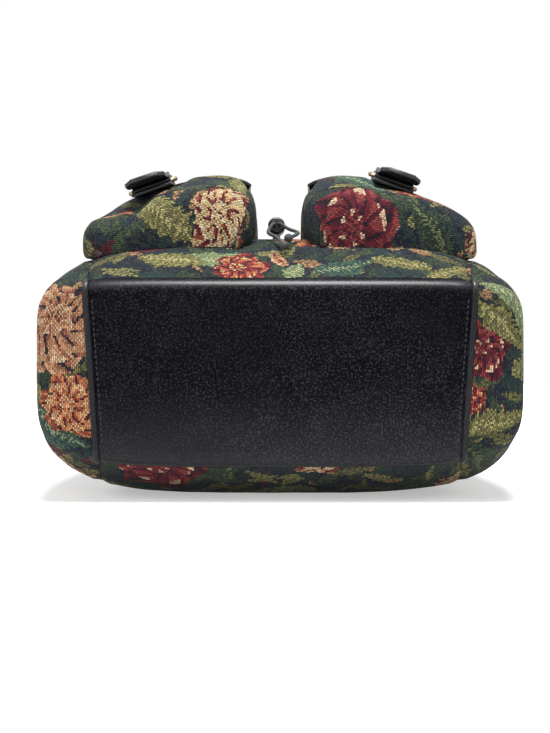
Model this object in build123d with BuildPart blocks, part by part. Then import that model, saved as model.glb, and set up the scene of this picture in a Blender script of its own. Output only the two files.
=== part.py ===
# Small drawstring backpack in woven floral tapestry and black leather.
#
# The bag lies on its back, as it does when its underside is photographed.
# +X is the wearer's right, +Y runs from the leather base to the gathered mouth,
# and +Z runs from the back panel up to the two front pockets.
# Distances along the bag are drawn from the base; the finished pieces are then moved
# so that the origin is on the floor, in the middle of the ground that the bag covers.
#
# Every cloth panel is drawn as a row of cross-sections along the bag and lofted.
# The sections come from one set of body curves, so panels, lining, pockets and
# flaps stay seated on each other when a size changes.  All sizes are millimetres.

from build123d import *
from math import atan2, cos, hypot, pi, radians, sin, sqrt, tan
import os

os.makedirs("parts", exist_ok=True)

# Body: sizes of the stuffed bag
base_width = 283.0
base_depth = 110.0
base_lift = 20.5
edge_radius = 9.0
belly_width = 298.0
belly_rise = 31.5
belly_top = base_lift + base_depth + belly_rise
strap_room = 5.0
body_length = 245.0
shoulder_width = 202.0
shoulder_low = 16.0
shoulder_drop = 54.0
shoulder_top = belly_top - shoulder_drop

# Cloth, leather and the seams between the panels
tapestry = 2.2
leather = 2.6
lining_cloth = 0.8
lining_gap = 1.2
lining_slack = 3.0
seam_gap = 0.3
seam_front = 112.0
seam_back = 106.0
binding_radius = 1.9
binding_seat = 0.1
binding_clearance = 0.1

# Gathered mouth
collar_length = 58.0
waist_at = 20.0
waist_width = 132.0
waist_depth = 66.0
rim_width = 156.0
rim_depth = 80.0
pleat_count = 8
pleat_depth = 6.5

# Drawstring, its sliding lock and its two free tails
cord_radius = 1.1
cord_clearance = 0.25
cord_spacing = 3.2
cord_middle = -2.0
lock_radius = 5.6
lock_length = 17.0
lock_at = 86.0
lock_lift = 4.0
lock_round = 1.8
straight_end = 160.0
knot_radius = 2.7

# Front pockets
pocket_width = 106.0
pocket_gap = 31.0
pocket_start = 37.0
pocket_length = 118.0
pocket_inner_height = 45.0
pocket_outer_height = 31.0
pocket_edge_radius = 9.0
pocket_inner_boxy = 3.2
pocket_outer_boxy = 4.6
pocket_tuck = 5.0
pocket_tuck_share = 0.3
pocket_seat = 0.5
pocket_seam_turn = 36.0
pocket_tilt = 19.0
flap_overlap = 46.0
flap_rise = 0.5
flap_flare = 1.6
flap_tail = 31.5
flap_turn = 40.0

# Buckled straps: one on each pocket, one on each shoulder strap
strap_width = 26.0
strap_thick = 2.8
strap_seat = 0.15
over_flap_room = 1.5
left_strap_at = 81.0
right_strap_at = 72.0
strap_curl = 8.5
strap_point = 6.0
tab_thick = 1.6
tab_length = 26.0
buckle_wire = 1.5
buckle_length = 19.0
buckle_side_gap = 0.7
buckle_corner = 3.0
buckle_at = 79.0
bar_clearance = 0.2
prong_radius = 1.1
prong_ring = 1.2
prong_clearance = 0.35

# Main flap, held shut by a pair of magnetic snaps
main_flap_width = 196.0
hinge_width = 128.0
hinge_inset = 7.0
hinge_at = body_length - hinge_inset
flap_droop = 12.0
flap_reach = 53.0
flap_free_edge = body_length - flap_reach
flap_stand_off = 7.6
snap_radius = 7.0
snap_thick = 1.5
snap_spacing = 96.0
snap_inset = 11.0
snap_at = flap_free_edge + snap_inset

# Shoulder straps, carry handle and the patch that holds them
shoulder_strap_width = 27.0
shoulder_strap_thick = 3.2
lower_strap_at = 73.0
upper_strap_at = 52.0
lower_strap_start = 86.0
shoulder_buckle_reach = 129.0
shoulder_buckle_at = body_length + shoulder_buckle_reach
loop_reach = 88.0
loop_end = shoulder_buckle_at + loop_reach
loop_radius = 24.0
keeper_length = 9.0
keeper_thick = 1.6
yoke_width = 128.0
yoke_inset = 13.0
yoke_depth = 28.0
yoke_end = body_length - yoke_inset
yoke_start = yoke_end - yoke_depth
upper_strap_end = yoke_start + 8.0
strap_hole = 1.6
strap_hole_spacing = 22.0
strap_hole_count = 4
yoke_thick = 1.8
handle_radius = 3.5
handle_spread = 17.0
handle_past_yoke = 58.0
handle_reach = yoke_end + handle_past_yoke

# Stiffener inside the base
board_thick = 2.5
board_gap = 0.3
board_clearance = 8.0


# Body curves
# Each row holds a distance from the base, the half width, the heights of the back
# and the front, and how boxy the section is towards the front and the back.

base_top = base_lift + base_depth
half_base = base_width / 2
half_belly = belly_width / 2
half_shoulder = shoulder_width / 2

body_rows = [
    (edge_radius, half_base, base_lift, base_top, 8.0, 4.8),
    (25.0, half_base + 2.5, base_lift * 0.45, base_top + 13.0, 5.2, 4.4),
    (42.0, half_base + 4.7, 2.2, belly_top - 8.0, 4.0, 4.1),
    (60.0, half_belly - 1.0, 0.0, belly_top - 3.2, 3.4, 3.9),
    (85.0, half_belly, strap_room - 1.2, belly_top, 3.1, 3.7),
    (130.0, half_belly - 1.0, strap_room, belly_top, 3.0, 3.5),
    (180.0, half_belly - 8.0, strap_room + 2.5, belly_top - 10.0, 2.9, 3.3),
    (220.0, (half_belly + half_shoulder) / 2 - 1.0, shoulder_low - 4.0, (belly_top + shoulder_top) / 2 - 3.0, 2.8, 3.0),
    (body_length, half_shoulder, shoulder_low, shoulder_top, 2.6, 2.8),
]


def smooth(rows, at, column):
    """A value of the rows' column at a distance, on a curve through the rows."""
    xs = [row[0] for row in rows]
    ys = [row[column] for row in rows]
    at = min(max(at, xs[0]), xs[-1])
    i = max(k for k in range(len(xs) - 1) if xs[k] <= at)
    slopes = []
    for k in (i, i + 1):
        low, high = max(k - 1, 0), min(k + 1, len(xs) - 1)
        slopes.append((ys[high] - ys[low]) / (xs[high] - xs[low]))
    span = xs[i + 1] - xs[i]
    t = (at - xs[i]) / span
    return (
        ys[i] * (2 * t**3 - 3 * t**2 + 1)
        + slopes[0] * span * (t**3 - 2 * t**2 + t)
        + ys[i + 1] * (3 * t**2 - 2 * t**3)
        + slopes[1] * span * (t**3 - t**2)
    )


def edge_inset(y):
    """How far the rounded edge of the base stands in at a distance from the base."""
    if y >= edge_radius:
        return 0.0
    return edge_radius - sqrt(edge_radius**2 - (edge_radius - y) ** 2)


def body_section(y, inset=0.0):
    """Half width, middle height, upper and lower half depth, and the two boxiness values."""
    half, low, high, boxy_top, boxy_low = (smooth(body_rows, y, c) for c in range(1, 6))
    middle = (low + high) / 2
    inset += edge_inset(y)
    return half - inset, middle, high - middle - inset, middle - low - inset, boxy_top, boxy_low


def section_point(section, angle):
    """The point of a body section in a direction, measured from +X on a unit section."""
    half, middle, rise, fall, boxy_top, boxy_low = section
    upward = sin(angle) >= 0
    boxy = boxy_top if upward else boxy_low
    reach = (abs(cos(angle)) ** boxy + abs(sin(angle)) ** boxy) ** (-1 / boxy)
    return half * reach * cos(angle), middle + (rise if upward else fall) * reach * sin(angle)


def angle_at(section, x, upward=True):
    """The direction in which a section reaches a distance from the bag's middle."""
    half, boxy = section[0], section[4] if upward else section[5]
    share = max(-1.0, min(1.0, x / half))
    height = (1 - abs(share) ** boxy) ** (1 / boxy)
    return atan2(height if upward else -height, share)


def front_height(x, y):
    """The height of the front panel's outer face."""
    section = body_section(y)
    return section_point(section, angle_at(section, x))[1]


def back_height(x, y):
    """The height of the back panel's outer face."""
    section = body_section(y)
    return section_point(section, angle_at(section, x, upward=False))[1]


def seam_at(y, width):
    """Where a seam of the base runs on, at a distance from the base."""
    return width * smooth(body_rows, y, 1) / half_base


def spread(start, end, count):
    """Values evenly spaced from start to end."""
    return [start + (end - start) * k / (count - 1) for k in range(count)]


def across(y):
    """The plane of a cross-section: its X is the bag's X and its Y is the bag's Z."""
    return Plane.XZ.offset(-y)


def lofted(rows):
    """Lofts a sheet of cloth from rows of (plane, outer points, inner points)."""
    with BuildPart() as sheet:
        for plane, outer, inner in rows:
            with BuildSketch(plane):
                with BuildLine():
                    Spline(*outer)
                    Line(outer[-1], inner[-1])
                    Spline(*inner)
                    Line(inner[0], outer[0])
                make_face()
        loft()
    return sheet.part


wall_stations = [edge_radius, 24.0, 42.0, 60.0, 85.0, 112.0, 145.0, 178.0, 205.0, 228.0, body_length]


def wall_angles(y, part, inset, gap):
    """The directions between which a panel runs in a section, a gap away from its seams."""
    section = body_section(y, inset)
    front = seam_at(y, seam_front)
    back = seam_at(y, seam_back)
    if part == "front":
        return angle_at(section, -front + gap), angle_at(section, front - gap)
    if part == "back":
        return angle_at(section, back - gap, False), angle_at(section, -back + gap, False)
    if part == "right":
        return angle_at(section, front + gap), angle_at(section, back + gap, False)
    return angle_at(section, -front - gap), angle_at(section, -back - gap, False) + 2 * pi


def wall_points(y, part, inset, count, gap=seam_gap / 2):
    """One face of a panel in a section, as points."""
    section = body_section(y, inset)
    start, end = wall_angles(y, part, inset, gap)
    return [section_point(section, angle) for angle in spread(start, end, count)]


def wall(part, first, last, count=11, gap=seam_gap / 2):
    """Lofts a panel of the body between two distances from the base."""
    rows = []
    for y in [first] + [y for y in wall_stations if first < y < last] + [last]:
        outer = wall_points(y, part, 0.0, count, gap)
        inner = wall_points(y, part, tapestry, count, gap)
        rows.append((across(y), outer, inner))
    return lofted(rows)


def front_points(y, reach, inset, count, upward=True):
    """Points along the front or back panel's section, within a distance from its middle."""
    section = body_section(y, inset)
    start, end = angle_at(section, reach, upward), angle_at(section, -reach, upward)
    return [section_point(section, angle) for angle in spread(start, end, count)]


# Base: a leather panel, rolled over its front and back edges onto the body
piping_room = binding_radius + binding_clearance
plate_thick = 2.2
plate_rows = [0.0, 0.8, plate_thick]

with BuildPart() as base_plate:
    for y in plate_rows:
        with BuildSketch(across(y)):
            with BuildLine():
                front_edge = Spline(*wall_points(y, "front", 0.0, 9, piping_room))
                back_edge = Spline(*wall_points(y, "back", 0.0, 9, piping_room))
                Line(front_edge @ 1, back_edge @ 0)
                Line(back_edge @ 1, front_edge @ 0)
            make_face()
    loft()

with BuildPart() as base_panel:
    add(base_plate.part)
    add(wall("front", plate_thick, edge_radius, 9, piping_room))
    add(wall("back", plate_thick, edge_radius, 9, piping_room))

# Front and back panels
with BuildPart() as front_panel:
    add(wall("front", edge_radius + seam_gap, body_length))

with BuildPart() as back_panel:
    add(wall("back", edge_radius + seam_gap, body_length))


# Side gussets, each with the flat end that it folds under the base
def side_panel(part):
    """Makes the gusset of one side."""
    with BuildPart() as fold:
        for y in plate_rows:
            with BuildSketch(across(y)):
                with BuildLine():
                    edge = Spline(*wall_points(y, part, 0.0, 11))
                    Line(edge @ 0, edge @ 1)
                make_face()
        loft()
    with BuildPart() as panel:
        add(fold.part)
        add(wall(part, plate_thick, body_length))
    return panel


side_panel_left = side_panel("left")
side_panel_right = side_panel("right")

# Whole form of the base's rolled edge, used to seat the binding on it
with BuildPart() as base_form:
    for y in [0.0, 0.5, 2.0, 4.5, edge_radius]:
        section = body_section(y, -binding_seat)
        with BuildSketch(across(y)):
            with BuildLine():
                Spline(*[section_point(section, angle) for angle in spread(0, 2 * pi, 33)[:-1]], periodic=True)
            make_face()
    loft()


def base_binding(side):
    """Makes the bead that covers one end seam of the base."""
    section = body_section(0.0)
    top = section_point(section, angle_at(section, side * seam_front))
    low = section_point(section, angle_at(section, side * seam_back, False))
    length = hypot(low[0] - top[0], low[1] - top[1])
    along = ((low[0] - top[0]) / length, 0, (low[1] - top[1]) / length)
    across_bead = Vector(*along).cross(Vector(0, 1, 0))
    seam_plane = Plane(origin=(top[0], 0, top[1]), x_dir=along, z_dir=across_bead)
    r = edge_radius
    with BuildPart() as bead:
        with BuildLine(seam_plane) as path:
            FilletPolyline((-r, r - 1), (-r, 0), (length + r, 0), (length + r, r - 1), radius=r - 1.2)
        with BuildSketch(Plane(origin=path.line @ 0, z_dir=path.line % 0)):
            Circle(binding_radius)
        sweep()
        add(base_form.part, mode=Mode.SUBTRACT)
    return bead


base_binding_left = base_binding(-1)
base_binding_right = base_binding(1)

# Stiffener that stands inside the base, between the panel and the lining
with BuildPart() as base_board:
    section = body_section(edge_radius)
    board_width = 2 * (seam_back - board_clearance)
    board_height = base_depth - 2 * (edge_radius + board_clearance)
    with BuildSketch(across(plate_thick + board_gap)):
        with Locations((0, section[1])):
            RectangleRounded(board_width, board_height, edge_radius)
    extrude(amount=-board_thick)


# Lining: two halves of thin cloth inside the panels
def lining_half(upward):
    """Makes the front or back half of the lining."""
    inset = tapestry + lining_gap
    rows = []
    for y in [plate_thick + 2 * board_gap + board_thick + lining_slack] + wall_stations[1:]:
        faces = []
        for depth in (inset, inset + lining_cloth):
            section = body_section(y, depth)
            turn = (0.01, pi - 0.01) if upward else (pi + 0.01, 2 * pi - 0.01)
            faces.append([section_point(section, angle) for angle in spread(*turn, 37)])
        rows.append((across(y), *faces))
    return lofted(rows)


with BuildPart() as lining_front:
    add(lining_half(True))
with BuildPart() as lining_back:
    add(lining_half(False))

# Gathered collar round the mouth
# Each row holds a distance from the base, the half width, the half depth, how
# boxy the section is, and how deep its pleats are.
collar_start = body_length + seam_gap
collar_end = body_length + collar_length
waist = body_length + waist_at
collar_middle = (shoulder_low + shoulder_top) / 2
collar_rows = [
    (body_length, half_shoulder, (shoulder_top - shoulder_low) / 2, 2.7, 0.0),
    (body_length + waist_at * 0.5, (half_shoulder + waist_width / 2) / 2, waist_depth / 2 + 4.5, 2.3, pleat_depth * 0.6),
    (waist, waist_width / 2, waist_depth / 2, 2.1, pleat_depth),
    ((waist + collar_end) / 2, waist_width / 2 + 5.0, waist_depth / 2 + 4.0, 2.1, pleat_depth),
    (collar_end, rim_width / 2, rim_depth / 2, 2.1, pleat_depth * 1.2),
]


def collar_point(y, angle):
    """A point of the collar's outer face."""
    half, depth, boxy, pleat = (smooth(collar_rows, y, c) for c in range(1, 5))
    reach = (abs(cos(angle)) ** boxy + abs(sin(angle)) ** boxy) ** (-1 / boxy)
    reach += pleat / hypot(half * cos(angle), depth * sin(angle)) * cos(pleat_count * angle)
    return half * reach * cos(angle), collar_middle + depth * reach * sin(angle)


def collar_half(start, end):
    """Makes half of the collar, between two directions."""
    rows = []
    for y in [collar_start, body_length + waist_at * 0.5, waist, (waist + collar_end) / 2, collar_end]:
        outer, inner = [], []
        for angle in spread(start, end, 3 * pleat_count + 1):
            x, z = collar_point(y, angle)
            ahead, behind = collar_point(y, angle + 0.01), collar_point(y, angle - 0.01)
            facing = atan2(ahead[1] - behind[1], ahead[0] - behind[0]) - pi / 2
            outer.append((x, z))
            inner.append((x - tapestry * cos(facing), z - tapestry * sin(facing)))
        rows.append((across(y), outer, inner))
    return lofted(rows)


with BuildPart() as mouth_collar_front:
    add(collar_half(0.002, pi - 0.002))
with BuildPart() as mouth_collar_back:
    add(collar_half(pi + 0.002, 2 * pi - 0.002))


# Cords
def corner_radii(points):
    """The largest arcs that the runs beside each corner of a route have room for."""
    radii = []
    for before, corner, after in zip(points, points[1:], points[2:]):
        run_in = Vector(*corner) - Vector(*before)
        run_out = Vector(*after) - Vector(*corner)
        half_turn = radians(run_in.get_angle(run_out)) / 2
        radii.append(0.45 * min(run_in.length, run_out.length) / tan(half_turn))
    return radii


def cord(name, points):
    """Makes a cord along a route of straight runs joined by arcs, and prints its radii."""
    radii = corner_radii(points)
    with BuildPart() as tube:
        with BuildLine() as route:
            FilletPolyline(*points, radius=radii)
        with BuildSketch(Plane(origin=route.line @ 0, z_dir=route.line % 0)):
            Circle(cord_radius)
        sweep()
    section_area = pi * cord_radius**2
    print(name, "length", round(route.wire().length, 1), "radii", [round(r, 1) for r in radii])
    print(name, "volume share", round(tube.part.volume / (section_area * route.wire().length), 4))
    return tube


# The pair of cords runs straight through the lock, between the two pockets
cord_height = belly_top + lock_lift + lock_radius
straight_start = lock_at - 6.0
cord_out = cord_spacing / 2
ring_room = pleat_depth + cord_radius + 0.4
ring_half = waist_width / 2 + ring_room
ring_depth = waist_depth / 2 + ring_room
leg_lift = cord_radius + 1.5


def leg(side):
    """The route of one leg of the drawstring, from the lock up to the mouth."""
    spots = [(4.0, 182.0), (6.5, 200.0), (9.0, 216.0), (11.5, 230.0), (14.5, 244.0)]
    straight = [
        (cord_middle + side * cord_out, straight_start, cord_height),
        (cord_middle + side * cord_out, straight_end, cord_height),
    ]
    return straight + [(side * x, y, front_height(x, y) + leg_lift) for x, y in spots]


ring = []
for angle in spread(radians(68), radians(-248), 10):
    reach = 1.045
    ring.append((ring_half * reach * cos(angle), waist, collar_middle + ring_depth * reach * sin(angle)))

drawstring_loop = cord("drawstring_loop", leg(1) + ring + leg(-1)[::-1])

right_tail_route = [
    (cord_middle + cord_out, straight_start, cord_height),
    (cord_middle + cord_out, 70.0, cord_height),
    (5.0, 60.5, 165.8),
    (10.5, 54.0, 163.4),
    (12.0, 43.5, 160.6),
    (6.5, 36.0, 157.6),
]
left_tail_route = [
    (cord_middle - cord_out, straight_start, cord_height),
    (cord_middle - cord_out, 71.0, cord_height),
    (-7.5, 59.5, 164.6),
    (-7.0, 48.5, 161.2),
    (-1.5, 40.0, 158.4),
    (2.0, 30.5, 152.8),
]
drawstring_tail_right = cord("drawstring_tail_right", right_tail_route)
drawstring_tail_left = cord("drawstring_tail_left", left_tail_route)


def tail_knot(route):
    """Makes the knot that ends a tail, flat where the cord meets it."""
    end = Vector(*route[-1])
    along = (end - Vector(*route[-2])).normalized()
    flat = knot_radius * 0.85
    with BuildPart() as knot:
        with Locations(end + along * flat):
            Sphere(knot_radius)
        split(bisect_by=Plane(origin=end, z_dir=along), keep=Keep.TOP)
    return knot


tail_knot_right = tail_knot(right_tail_route)
tail_knot_left = tail_knot(left_tail_route)

# Cord lock: a barrel with two bores, which slides along the pair of cords
with BuildPart() as cord_lock:
    with BuildSketch(across(lock_at)):
        with Locations((cord_middle, cord_height)):
            Circle(lock_radius)
        with Locations((cord_middle - cord_out, cord_height), (cord_middle + cord_out, cord_height)):
            Circle(cord_radius + cord_clearance, mode=Mode.SUBTRACT)
    extrude(amount=-lock_length)
    fillet(cord_lock.edges().filter_by(GeomType.CIRCLE).filter_by(lambda e: e.radius > lock_radius - 0.1), lock_round)


# Straps and buckles
def ribbon(plane, middle, thickness, width):
    """Makes a strap from its middle line in a plane, with a thickness and a width."""
    outer, inner = [], []
    for k, (x, y) in enumerate(middle):
        before = middle[max(k - 1, 0)]
        after = middle[min(k + 1, len(middle) - 1)]
        length = hypot(after[0] - before[0], after[1] - before[1])
        dx = -(after[1] - before[1]) / length * thickness / 2
        dy = (after[0] - before[0]) / length * thickness / 2
        outer.append((x + dx, y + dy))
        inner.append((x - dx, y - dy))
    with BuildPart() as strap:
        with BuildSketch(plane):
            with BuildLine():
                Spline(*outer)
                Line(outer[-1], inner[-1])
                Spline(*inner)
                Line(inner[0], outer[0])
            make_face()
        extrude(amount=width / 2, both=True)
    return strap.part


# A buckle's own plane has its X along the strap, from the heel bar to the far bar,
# and its Y away from what the buckle lies on.
heel_height = strap_seat + tab_thick + bar_clearance + buckle_wire
fold_radius = buckle_wire + bar_clearance + tab_thick / 2


def far_bar_height(thickness):
    """How high the buckle's far bar stands over a strap of a thickness."""
    return strap_seat + thickness + bar_clearance + buckle_wire


def over_heel(thickness):
    """How high the middle of a strap passes over the buckle's heel bar."""
    return heel_height + fold_radius + tab_thick / 2 + bar_clearance + thickness / 2


def buckle_frame(plane, thickness):
    """Makes the wire frame of a buckle."""
    half = strap_width / 2 + buckle_side_gap + buckle_wire
    rise = far_bar_height(thickness) - heel_height
    length = hypot(buckle_length, rise)
    heel = plane.from_local_coords(Vector(0, heel_height, 0))
    far = plane.from_local_coords(Vector(buckle_length, far_bar_height(thickness), 0))
    lying = Plane(origin=heel, x_dir=plane.z_dir, z_dir=plane.z_dir.cross(far - heel))
    corners = [(0, 0), (half, 0), (half, length), (-half, length), (-half, 0)]
    with BuildPart() as frame:
        with BuildLine(lying) as outline:
            FilletPolyline(*corners[1:], radius=buckle_corner, close=True)
        with BuildSketch(Plane(origin=outline.line @ 0, z_dir=outline.line % 0)):
            Circle(buckle_wire)
        sweep()
    return frame


def prong_shank(plane, thickness, radius):
    """A straight round bar from the heel bar to just past the far bar."""
    start = plane.from_local_coords(Vector(0, heel_height, 0))
    tip_height = far_bar_height(thickness) + buckle_wire + prong_radius + bar_clearance
    reach = buckle_length + 2.0
    end = plane.from_local_coords(Vector(reach, tip_height + 0.4, 0))
    with BuildPart() as shank:
        with BuildSketch(Plane(origin=start, z_dir=end - start)):
            Circle(radius)
        extrude(amount=(end - start).length)
    return shank.part


def buckle_prong(plane, thickness):
    """Makes the prong with the ring that turns on the heel bar."""
    bore = buckle_wire + bar_clearance / 2
    with BuildPart() as ring_form:
        with BuildSketch(plane):
            with Locations((0, heel_height)):
                Circle(bore)
        extrude(amount=2 * prong_radius, both=True)
    with BuildPart() as prong:
        add(prong_shank(plane, thickness, prong_radius))
        with BuildSketch(plane):
            with Locations((0, heel_height)):
                Circle(bore + prong_ring)
        extrude(amount=prong_radius, both=True)
        add(ring_form.part, mode=Mode.SUBTRACT)
    return prong


def buckle_tab(plane, thickness, start):
    """Makes the leather tab that folds round the heel bar; start is its sewn end."""
    low = strap_seat + tab_thick / 2
    high = low + tab_thick + 0.5
    fold = []
    over_fold = heel_height + fold_radius
    for angle in spread(-90, 90, 5):
        turn = radians(angle)
        fold.append((fold_radius * cos(turn), heel_height + fold_radius * sin(turn)))
    middle = [*start, (-18, low), (-12, low), (-6, low), (-3, low), *fold, (-3, over_fold - 0.3), (-7, 4.1), (-12, high), (-17, high)]
    slot = 2 * (prong_radius + prong_clearance)
    with BuildPart() as tab:
        add(ribbon(plane, middle, tab_thick, strap_width))
        with BuildSketch(plane):
            with Locations((2, heel_height)):
                Rectangle(11, 2 * (fold_radius + tab_thick))
        extrude(amount=slot / 2, both=True, mode=Mode.SUBTRACT)
    return tab


def threaded_strap(plane, middle, thickness, width, tip, inward):
    """Makes a strap with a pointed tip and the hole that the prong passes through.

    The tip is the middle line's end that the free end has, and inward the point next to it."""
    end = plane.from_local_coords(Vector(*tip, 0))
    along = (end - plane.from_local_coords(Vector(*inward, 0))).normalized()
    with BuildPart() as strap:
        add(ribbon(plane, middle, thickness, width))
        add(prong_shank(plane, thickness, prong_radius + prong_clearance), mode=Mode.SUBTRACT)
        with BuildSketch(Plane(origin=end, x_dir=plane.z_dir, z_dir=plane.z_dir.cross(along))):
            for side in (-1, 1):
                corner = (side * (width / 2 + 1), 1)
                with BuildLine():
                    Polyline(corner, (corner[0], -strap_point), (side * (width / 2 - strap_point), 1), close=True)
                make_face()
        extrude(amount=3 * thickness, both=True, mode=Mode.SUBTRACT)
    return strap


# Front pockets, made on the right and mirrored for the left
pocket_middle = (pocket_gap + pocket_width) / 2
pocket_inner = pocket_gap / 2
pocket_end = pocket_start + pocket_length
pocket_fullness = [
    (pocket_start, 0.80),
    (pocket_start + 32.0, 0.92),
    (pocket_start + 80.0, 1.0),
    (pocket_end, 0.96),
]


def pocket_height(x, y):
    """How high the pocket's face stands over the front panel."""
    share = (x - pocket_inner) / pocket_width
    full = pocket_inner_height + (pocket_outer_height - pocket_inner_height) * share
    return full * smooth(pocket_fullness, y, 1)


def pocket_inset(y):
    """How far the pocket's rounded lower edge stands in."""
    depth = pocket_edge_radius - (y - pocket_start)
    if depth <= 0:
        return 0.0
    return pocket_edge_radius - sqrt(pocket_edge_radius**2 - depth**2)


def pocket_shape(turn):
    """How far out and how far up a pocket's section is in a direction, as shares."""
    boxy = pocket_outer_boxy if cos(turn) > 0 else pocket_inner_boxy
    reach = (abs(cos(turn)) ** boxy + abs(sin(turn)) ** boxy) ** (-1 / boxy)
    return reach * cos(turn), pocket_tuck_share + (1 - pocket_tuck_share) * reach * abs(sin(turn))


def pocket_arch(y, inset, first_turn, last_turn, count, fall=1.0):
    """Points of a pocket's section, from its outer end at 0 to its inner end at 180 degrees."""
    half = pocket_width / 2 - inset
    points = []
    for turn in spread(radians(first_turn), radians(last_turn), count):
        out, up = pocket_shape(turn)
        x = pocket_middle + half * out
        points.append((x, front_height(x, y) + pocket_seat + (pocket_height(x, y) - inset) * fall * up))
    return points


def pocket_foot(y, inset, side):
    """Points of the stretch that tucks in from a pocket's outer or inner end to its foot."""
    x, z = pocket_arch(y, inset, 90 - 90 * side, 90 - 90 * side, 2)[0]
    points = []
    for share in (0.35, 0.7, 1.0):
        out = x - side * pocket_tuck * (1 - cos(share * pi / 2))
        floor = front_height(out, y) + pocket_seat
        points.append((out, z + (floor - z) * sin(share * pi / 2)))
    return points


def pocket_section(y, inset):
    """Points of a pocket's whole section, from its outer foot to its inner foot."""
    arch = pocket_arch(y, inset, 0, 180, 13)
    return pocket_foot(y, inset, 1)[::-1] + arch + pocket_foot(y, inset, -1)


roll_end = pocket_start + pocket_edge_radius
pocket_stations = spread(roll_end, pocket_end, 6)

with BuildPart() as pocket_end_wall:
    for y in [pocket_start, pocket_start + 0.8, pocket_start + tapestry]:
        outline = pocket_section(y, pocket_inset(y))
        feet = spread(outline[-1][0], outline[0][0], 5)
        with BuildSketch(across(y)):
            with BuildLine():
                Spline(*outline)
                Spline(outline[-1], *[(x, front_height(x, y) + pocket_seat) for x in feet[1:-1]], outline[0])
            make_face()
    loft()

with BuildPart() as pocket_wall:
    add(pocket_end_wall.part)
    rows = []
    for y in [pocket_start + tapestry, pocket_start + 5.0, *pocket_stations]:
        rows.append((across(y), pocket_section(y, pocket_inset(y)), pocket_section(y, pocket_inset(y) + tapestry)))
    add(lofted(rows))


def face_wedge(rise):
    """A wedge that takes in a pocket's face, between its two long seams."""
    heart = (pocket_middle, belly_top + rise)
    seams = pocket_arch(pocket_stations[2], 0, pocket_seam_turn, 180 - pocket_seam_turn, 2)
    corners = [(heart[0] + 4 * (x - heart[0]), heart[1] + 4 * (z - heart[1])) for x, z in seams]
    with BuildPart() as wedge:
        with BuildSketch(across(roll_end + rise)):
            with BuildLine():
                Polyline(heart, *corners, close=True)
            make_face()
        extrude(amount=-pocket_length)
    return wedge.part


with BuildPart() as pocket_gusset_right:
    add(pocket_wall.part)
    add(face_wedge(0.0), mode=Mode.SUBTRACT)

with BuildPart() as pocket_front_right:
    add(pocket_wall.part)
    add(face_wedge(seam_gap), mode=Mode.INTERSECT)

# Pocket flap: a leather cap over the pocket's open end, sewn down beyond it
flap_start = pocket_end - flap_overlap
flap_end = pocket_end + flap_tail


def flap_lift(y):
    """How far a pocket flap stands off the pocket."""
    lifted = max(0.0, (pocket_end - y) / flap_overlap)
    return flap_rise + flap_flare * lifted**2


def flap_faces(y, count=11):
    """The outer and inner faces of the pocket flap in a section."""
    tail = max(0.0, (y - pocket_end) / flap_tail)
    inner = pocket_arch(y, -flap_lift(y), flap_turn, 180 - flap_turn, count, 0.5 + 0.5 * cos(pi * tail))
    outer = []
    for (x, z), turn in zip(inner, spread(flap_turn, 180 - flap_turn, count)):
        facing = radians(turn + (90 - turn) * tail)
        outer.append((x + leather * cos(facing), z + leather * sin(facing)))
    return outer, inner


with BuildPart() as pocket_flap_right:
    flap_rows = [flap_start, flap_start + 15, flap_start + 30, pocket_end]
    flap_rows += [pocket_end + flap_tail / 3, pocket_end + flap_tail * 2 / 3, flap_end]
    add(lofted([(across(y), *flap_faces(y)) for y in flap_rows]))

# Each pocket's strap lies in a plane that leans with the pocket's face
tilt = radians(-pocket_tilt)


def leaning(x, z):
    """Places a point of a section along and above the leaning face of the pocket."""
    return x * cos(tilt) + z * sin(tilt), z * cos(tilt) - x * sin(tilt)


def face_level(y, middle, rise=0.0):
    """The highest point of the pocket, or of its flap, under a strap."""
    levels = []
    for x, z in pocket_arch(y, -rise, 35, 145, 41):
        along, level = leaning(x, z)
        if abs(along - middle) < strap_width / 2 + 1:
            levels.append(level)
    return max(levels)


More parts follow.
